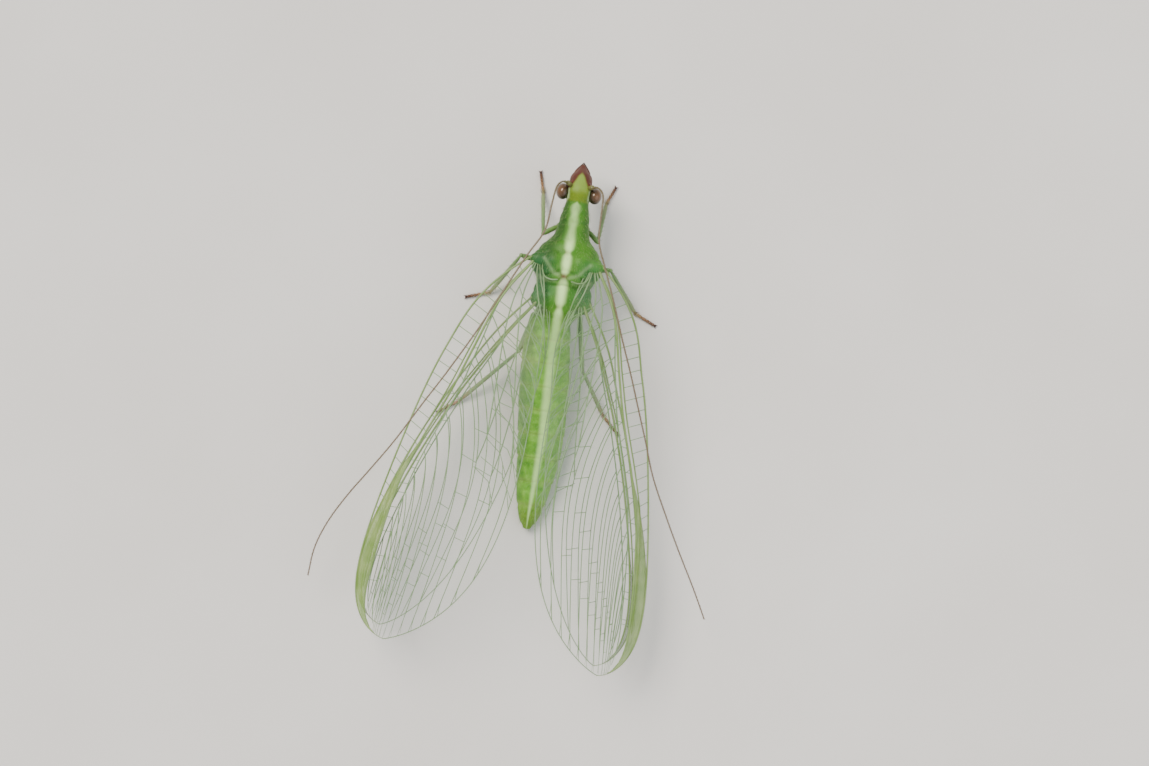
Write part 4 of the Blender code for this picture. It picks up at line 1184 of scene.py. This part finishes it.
# Straw-coloured hairs of cuticle, a little uneven in tone
fringe_material = mottled_material("pale_fringe_hair", {"Roughness": 0.5}, 0.5, 2,
                                   [(0.35, "8A9270"), (0.65, "A09C7E")])
wings = {}
for pair, shape in (("fore", FORE_SHAPE), ("hind", HIND_SHAPE)):
    for label in SIDES:
        wing = Wing(label, shape)
        wings[pair, label] = wing
        node = f"{pair}wing_{label}"
        membrane = film_mesh(f"{node}_membrane", wing, wing.membrane_place, 110, 36, MEMBRANE_THICKNESS)
        settle(membrane, membrane_material, (node,))
        stigma = film_mesh(f"{node}_stigma", wing, wing.stigma_place, 60, 4, STIGMA_THICKNESS)
        settle(stigma, stigma_materials[pair])

        net = vein_net(wing)
        tubes = {name: [] for name in vein_materials}
        for kind, line in net:
            # Veins thin outwards, and all but the rear margin end as fine threads
            front = kind in FRONT_VEINS
            slimmer = 0.30 if front else 0.35
            ending = 0 if kind == "rear" else 0.6
            sizes = [VEIN_THICKNESS[kind] * (1.1 - slimmer * flat.x)
                     * (1 - ending * smooth_step((flat.x - 0.92) / 0.06)) for flat in line]
            tubes["front_veins" if front else "vein_net"].append(([wing.place(flat) for flat in line], sizes))
        for name, material in vein_materials.items():
            settle(tube_mesh(f"{node}_{name}", tubes[name]), material)

        coat = new_coat()
        for kind, line in net:
            if kind in BARE_VEINS:
                continue
            spacing, outwards, forwards, upwards = VEIN_HAIRS.get(kind, OTHER_VEIN_HAIRS)
            travelled = 0
            for flat, after in zip(line, line[1:]):
                a, b = wing.place(flat), wing.place(after)
                span = b - a
                ahead = span.normalized()
                outward = Vector((span.y, -span.x, 0)).normalized() * -wing.side
                direction = outward * outwards + ahead * forwards + Vector((0, 0, upwards))
                spot = (flat.x * UNWRAP_SHARE, wing.across(flat) * UNWRAP_SHARE)
                travelled += span.length
                while travelled > spacing:
                    travelled -= spacing
                    bristle(coat, b - ahead * travelled, direction, random.uniform(*FRINGE_LENGTHS),
                            FRINGE_THICKNESS, spot)
        settle(new_object(f"{node}_fringe", coat[0]), fringe_material)

# Wing cords
# From each hind corner of the shield a pale cord of folded membrane runs out to the root of
# the front wing and is its rear margin there. It is a slack tube lying on the back.
WING_CORD = [(0.20, 4.15, 2.46), (0.44, 4.12, 2.43), (0.64, 4.20, 2.36), (0.74, 4.42, 2.33),
             (0.73, 4.72, 2.33)]
WING_CORD_THICKNESS = [0.05, 0.055, 0.055, 0.05, 0.04]
for label, side in SIDES.items():
    stations = [(x * side, y, z, thick) for (x, y, z), thick in zip(WING_CORD, WING_CORD_THICKNESS)]
    line = smooth_line(stations, 6)
    cord = tube_mesh(f"wing_cord_{label}", [([s[:3] for s in line], [s[3] for s in line])])
    settle(cord, vein_materials["vein_net"])

# Antennae
# Two long threads of about ninety short joints, brown and finely haired, on a stout green first
# joint and a small second one. They rise beside the face and bend back over the wings.
ANTENNA_HEAD_ROUTE = {
    "left": [(-0.41, 7.17, 2.44), (-0.56, 7.16, 2.70), (-0.69, 7.02, 2.90), (-0.74, 6.78, 3.02),
             (-0.78, 6.30, 3.10), (-0.86, 5.55, 3.14)],
    "right": [(0.41, 7.13, 2.44), (0.56, 7.14, 2.70), (0.71, 7.01, 2.90), (0.77, 6.80, 3.02),
              (0.79, 6.34, 3.10), (0.86, 5.50, 3.14)],
}
ANTENNA_WING_ROUTE = {
    "left": [(-1.28, 4.70), (-1.82, 3.50), (-2.40, 2.20), (-3.10, 0.80), (-3.72, -0.35), (-4.38, -1.60)],
    "right": [(1.14, 4.80), (1.58, 3.80), (2.06, 2.63), (2.50, 1.60), (2.90, 0.60), (3.27, -0.32)],
}
ANTENNA_FREE_ROUTE = {
    "left": [(-5.00, -2.62, 2.64), (-5.58, -3.55, 2.26), (-6.04, -4.45, 1.90), (-6.31, -5.30, 1.54),
             (-6.38, -6.18, 1.20)],
    "right": [(3.70, -1.42, 2.60), (4.28, -2.52, 2.35), (4.85, -3.53, 2.00), (5.50, -4.62, 1.62),
              (6.00, -5.52, 1.30)],
}
ANTENNA_OVER_WING = 0.90
ANTENNA_JOINTS = 92
ANTENNA_THICKNESS = 0.062
ANTENNA_TIP_THICKNESS = 0.040
FIRST_JOINT_THICKNESS = 0.16
SECOND_JOINT_SWELL = 1.35
SOCKET_CENTRE = Vector((0.27, 7.10, 2.16))
# Share of a joint's length and of its thickness
JOINT_PROFILE = [(0.0, 0.74), (0.18, 0.94), (0.75, 1.0), (0.95, 0.98)]
ANTENNA_HAIRS_A_JOINT = 7
ANTENNA_HAIR_LENGTH = 0.07
ANTENNA_HAIR_LEAN = 1.6


def point_at(line, lengths, share):
    """The point of a line at a share of its length."""
    distance = lengths[-1] * share
    for low, high, a, b in zip(lengths, lengths[1:], line, line[1:]):
        if distance <= high:
            return a.lerp(b, (distance - low) / (high - low))
    return line[-1]


antenna_stops = [(0.0, "6E7434"), (0.03, "5E5234"), (0.12, "6A5A40"), (0.6, "6E5A42")]
antenna_material = tanned_cuticle("brown_antenna_cuticle", antenna_stops)
for label, side in SIDES.items():
    socket = Vector((SOCKET_CENTRE.x * side, *SOCKET_CENTRE.yz))
    route = [Vector(point) for point in ANTENNA_HEAD_ROUTE[label]]
    for plan in ANTENNA_WING_ROUTE[label]:
        route.append(Vector((*plan, wings["fore", label].roof(*plan) + ANTENNA_OVER_WING)))
    route += [Vector(point) for point in ANTENNA_FREE_ROUTE[label]]
    line = smooth_line(route, 24)
    lengths = [0, *itertools.accumulate((b - a).length for a, b in zip(line, line[1:]))]
    bm = bmesh.new()
    loft(bm, joint_rings(socket, route[0], FIRST_JOINT_THICKNESS, 0.8, 1.0, 8), 14)
    rings = []
    for index in range(ANTENNA_JOINTS):
        share = index / ANTENNA_JOINTS
        thickness = ANTENNA_THICKNESS + (ANTENNA_TIP_THICKNESS - ANTENNA_THICKNESS) * share
        if index == 0:
            thickness *= SECOND_JOINT_SWELL
        for part, swell in JOINT_PROFILE:
            centre = point_at(line, lengths, (index + part) / ANTENNA_JOINTS)
            rings.append((centre, thickness / 2 * swell, thickness / 2 * swell))
    rings.append((line[-1], ANTENNA_TIP_THICKNESS * 0.2, ANTENNA_TIP_THICKNESS * 0.2))
    loft(bm, rings, 8)
    route = [socket, *route]
    settle_along(f"antenna_thread_{label}", bm, route, antenna_material, (f"antenna_{label}",))
    coat = new_coat()
    for index in range(ANTENNA_JOINTS):
        shares = (index / ANTENNA_JOINTS, (index + 1) / ANTENNA_JOINTS)
        start, end = (point_at(line, lengths, share) for share in shares)
        bristles_on(coat, start, end, ANTENNA_THICKNESS * 0.42, ANTENNA_HAIRS_A_JOINT, ANTENNA_HAIR_LENGTH,
                    ANTENNA_HAIR_LEAN, [share * UNWRAP_SHARE for share in shares])
    settle_along(f"antenna_hairs_{label}", coat[0], route, bristle_material)
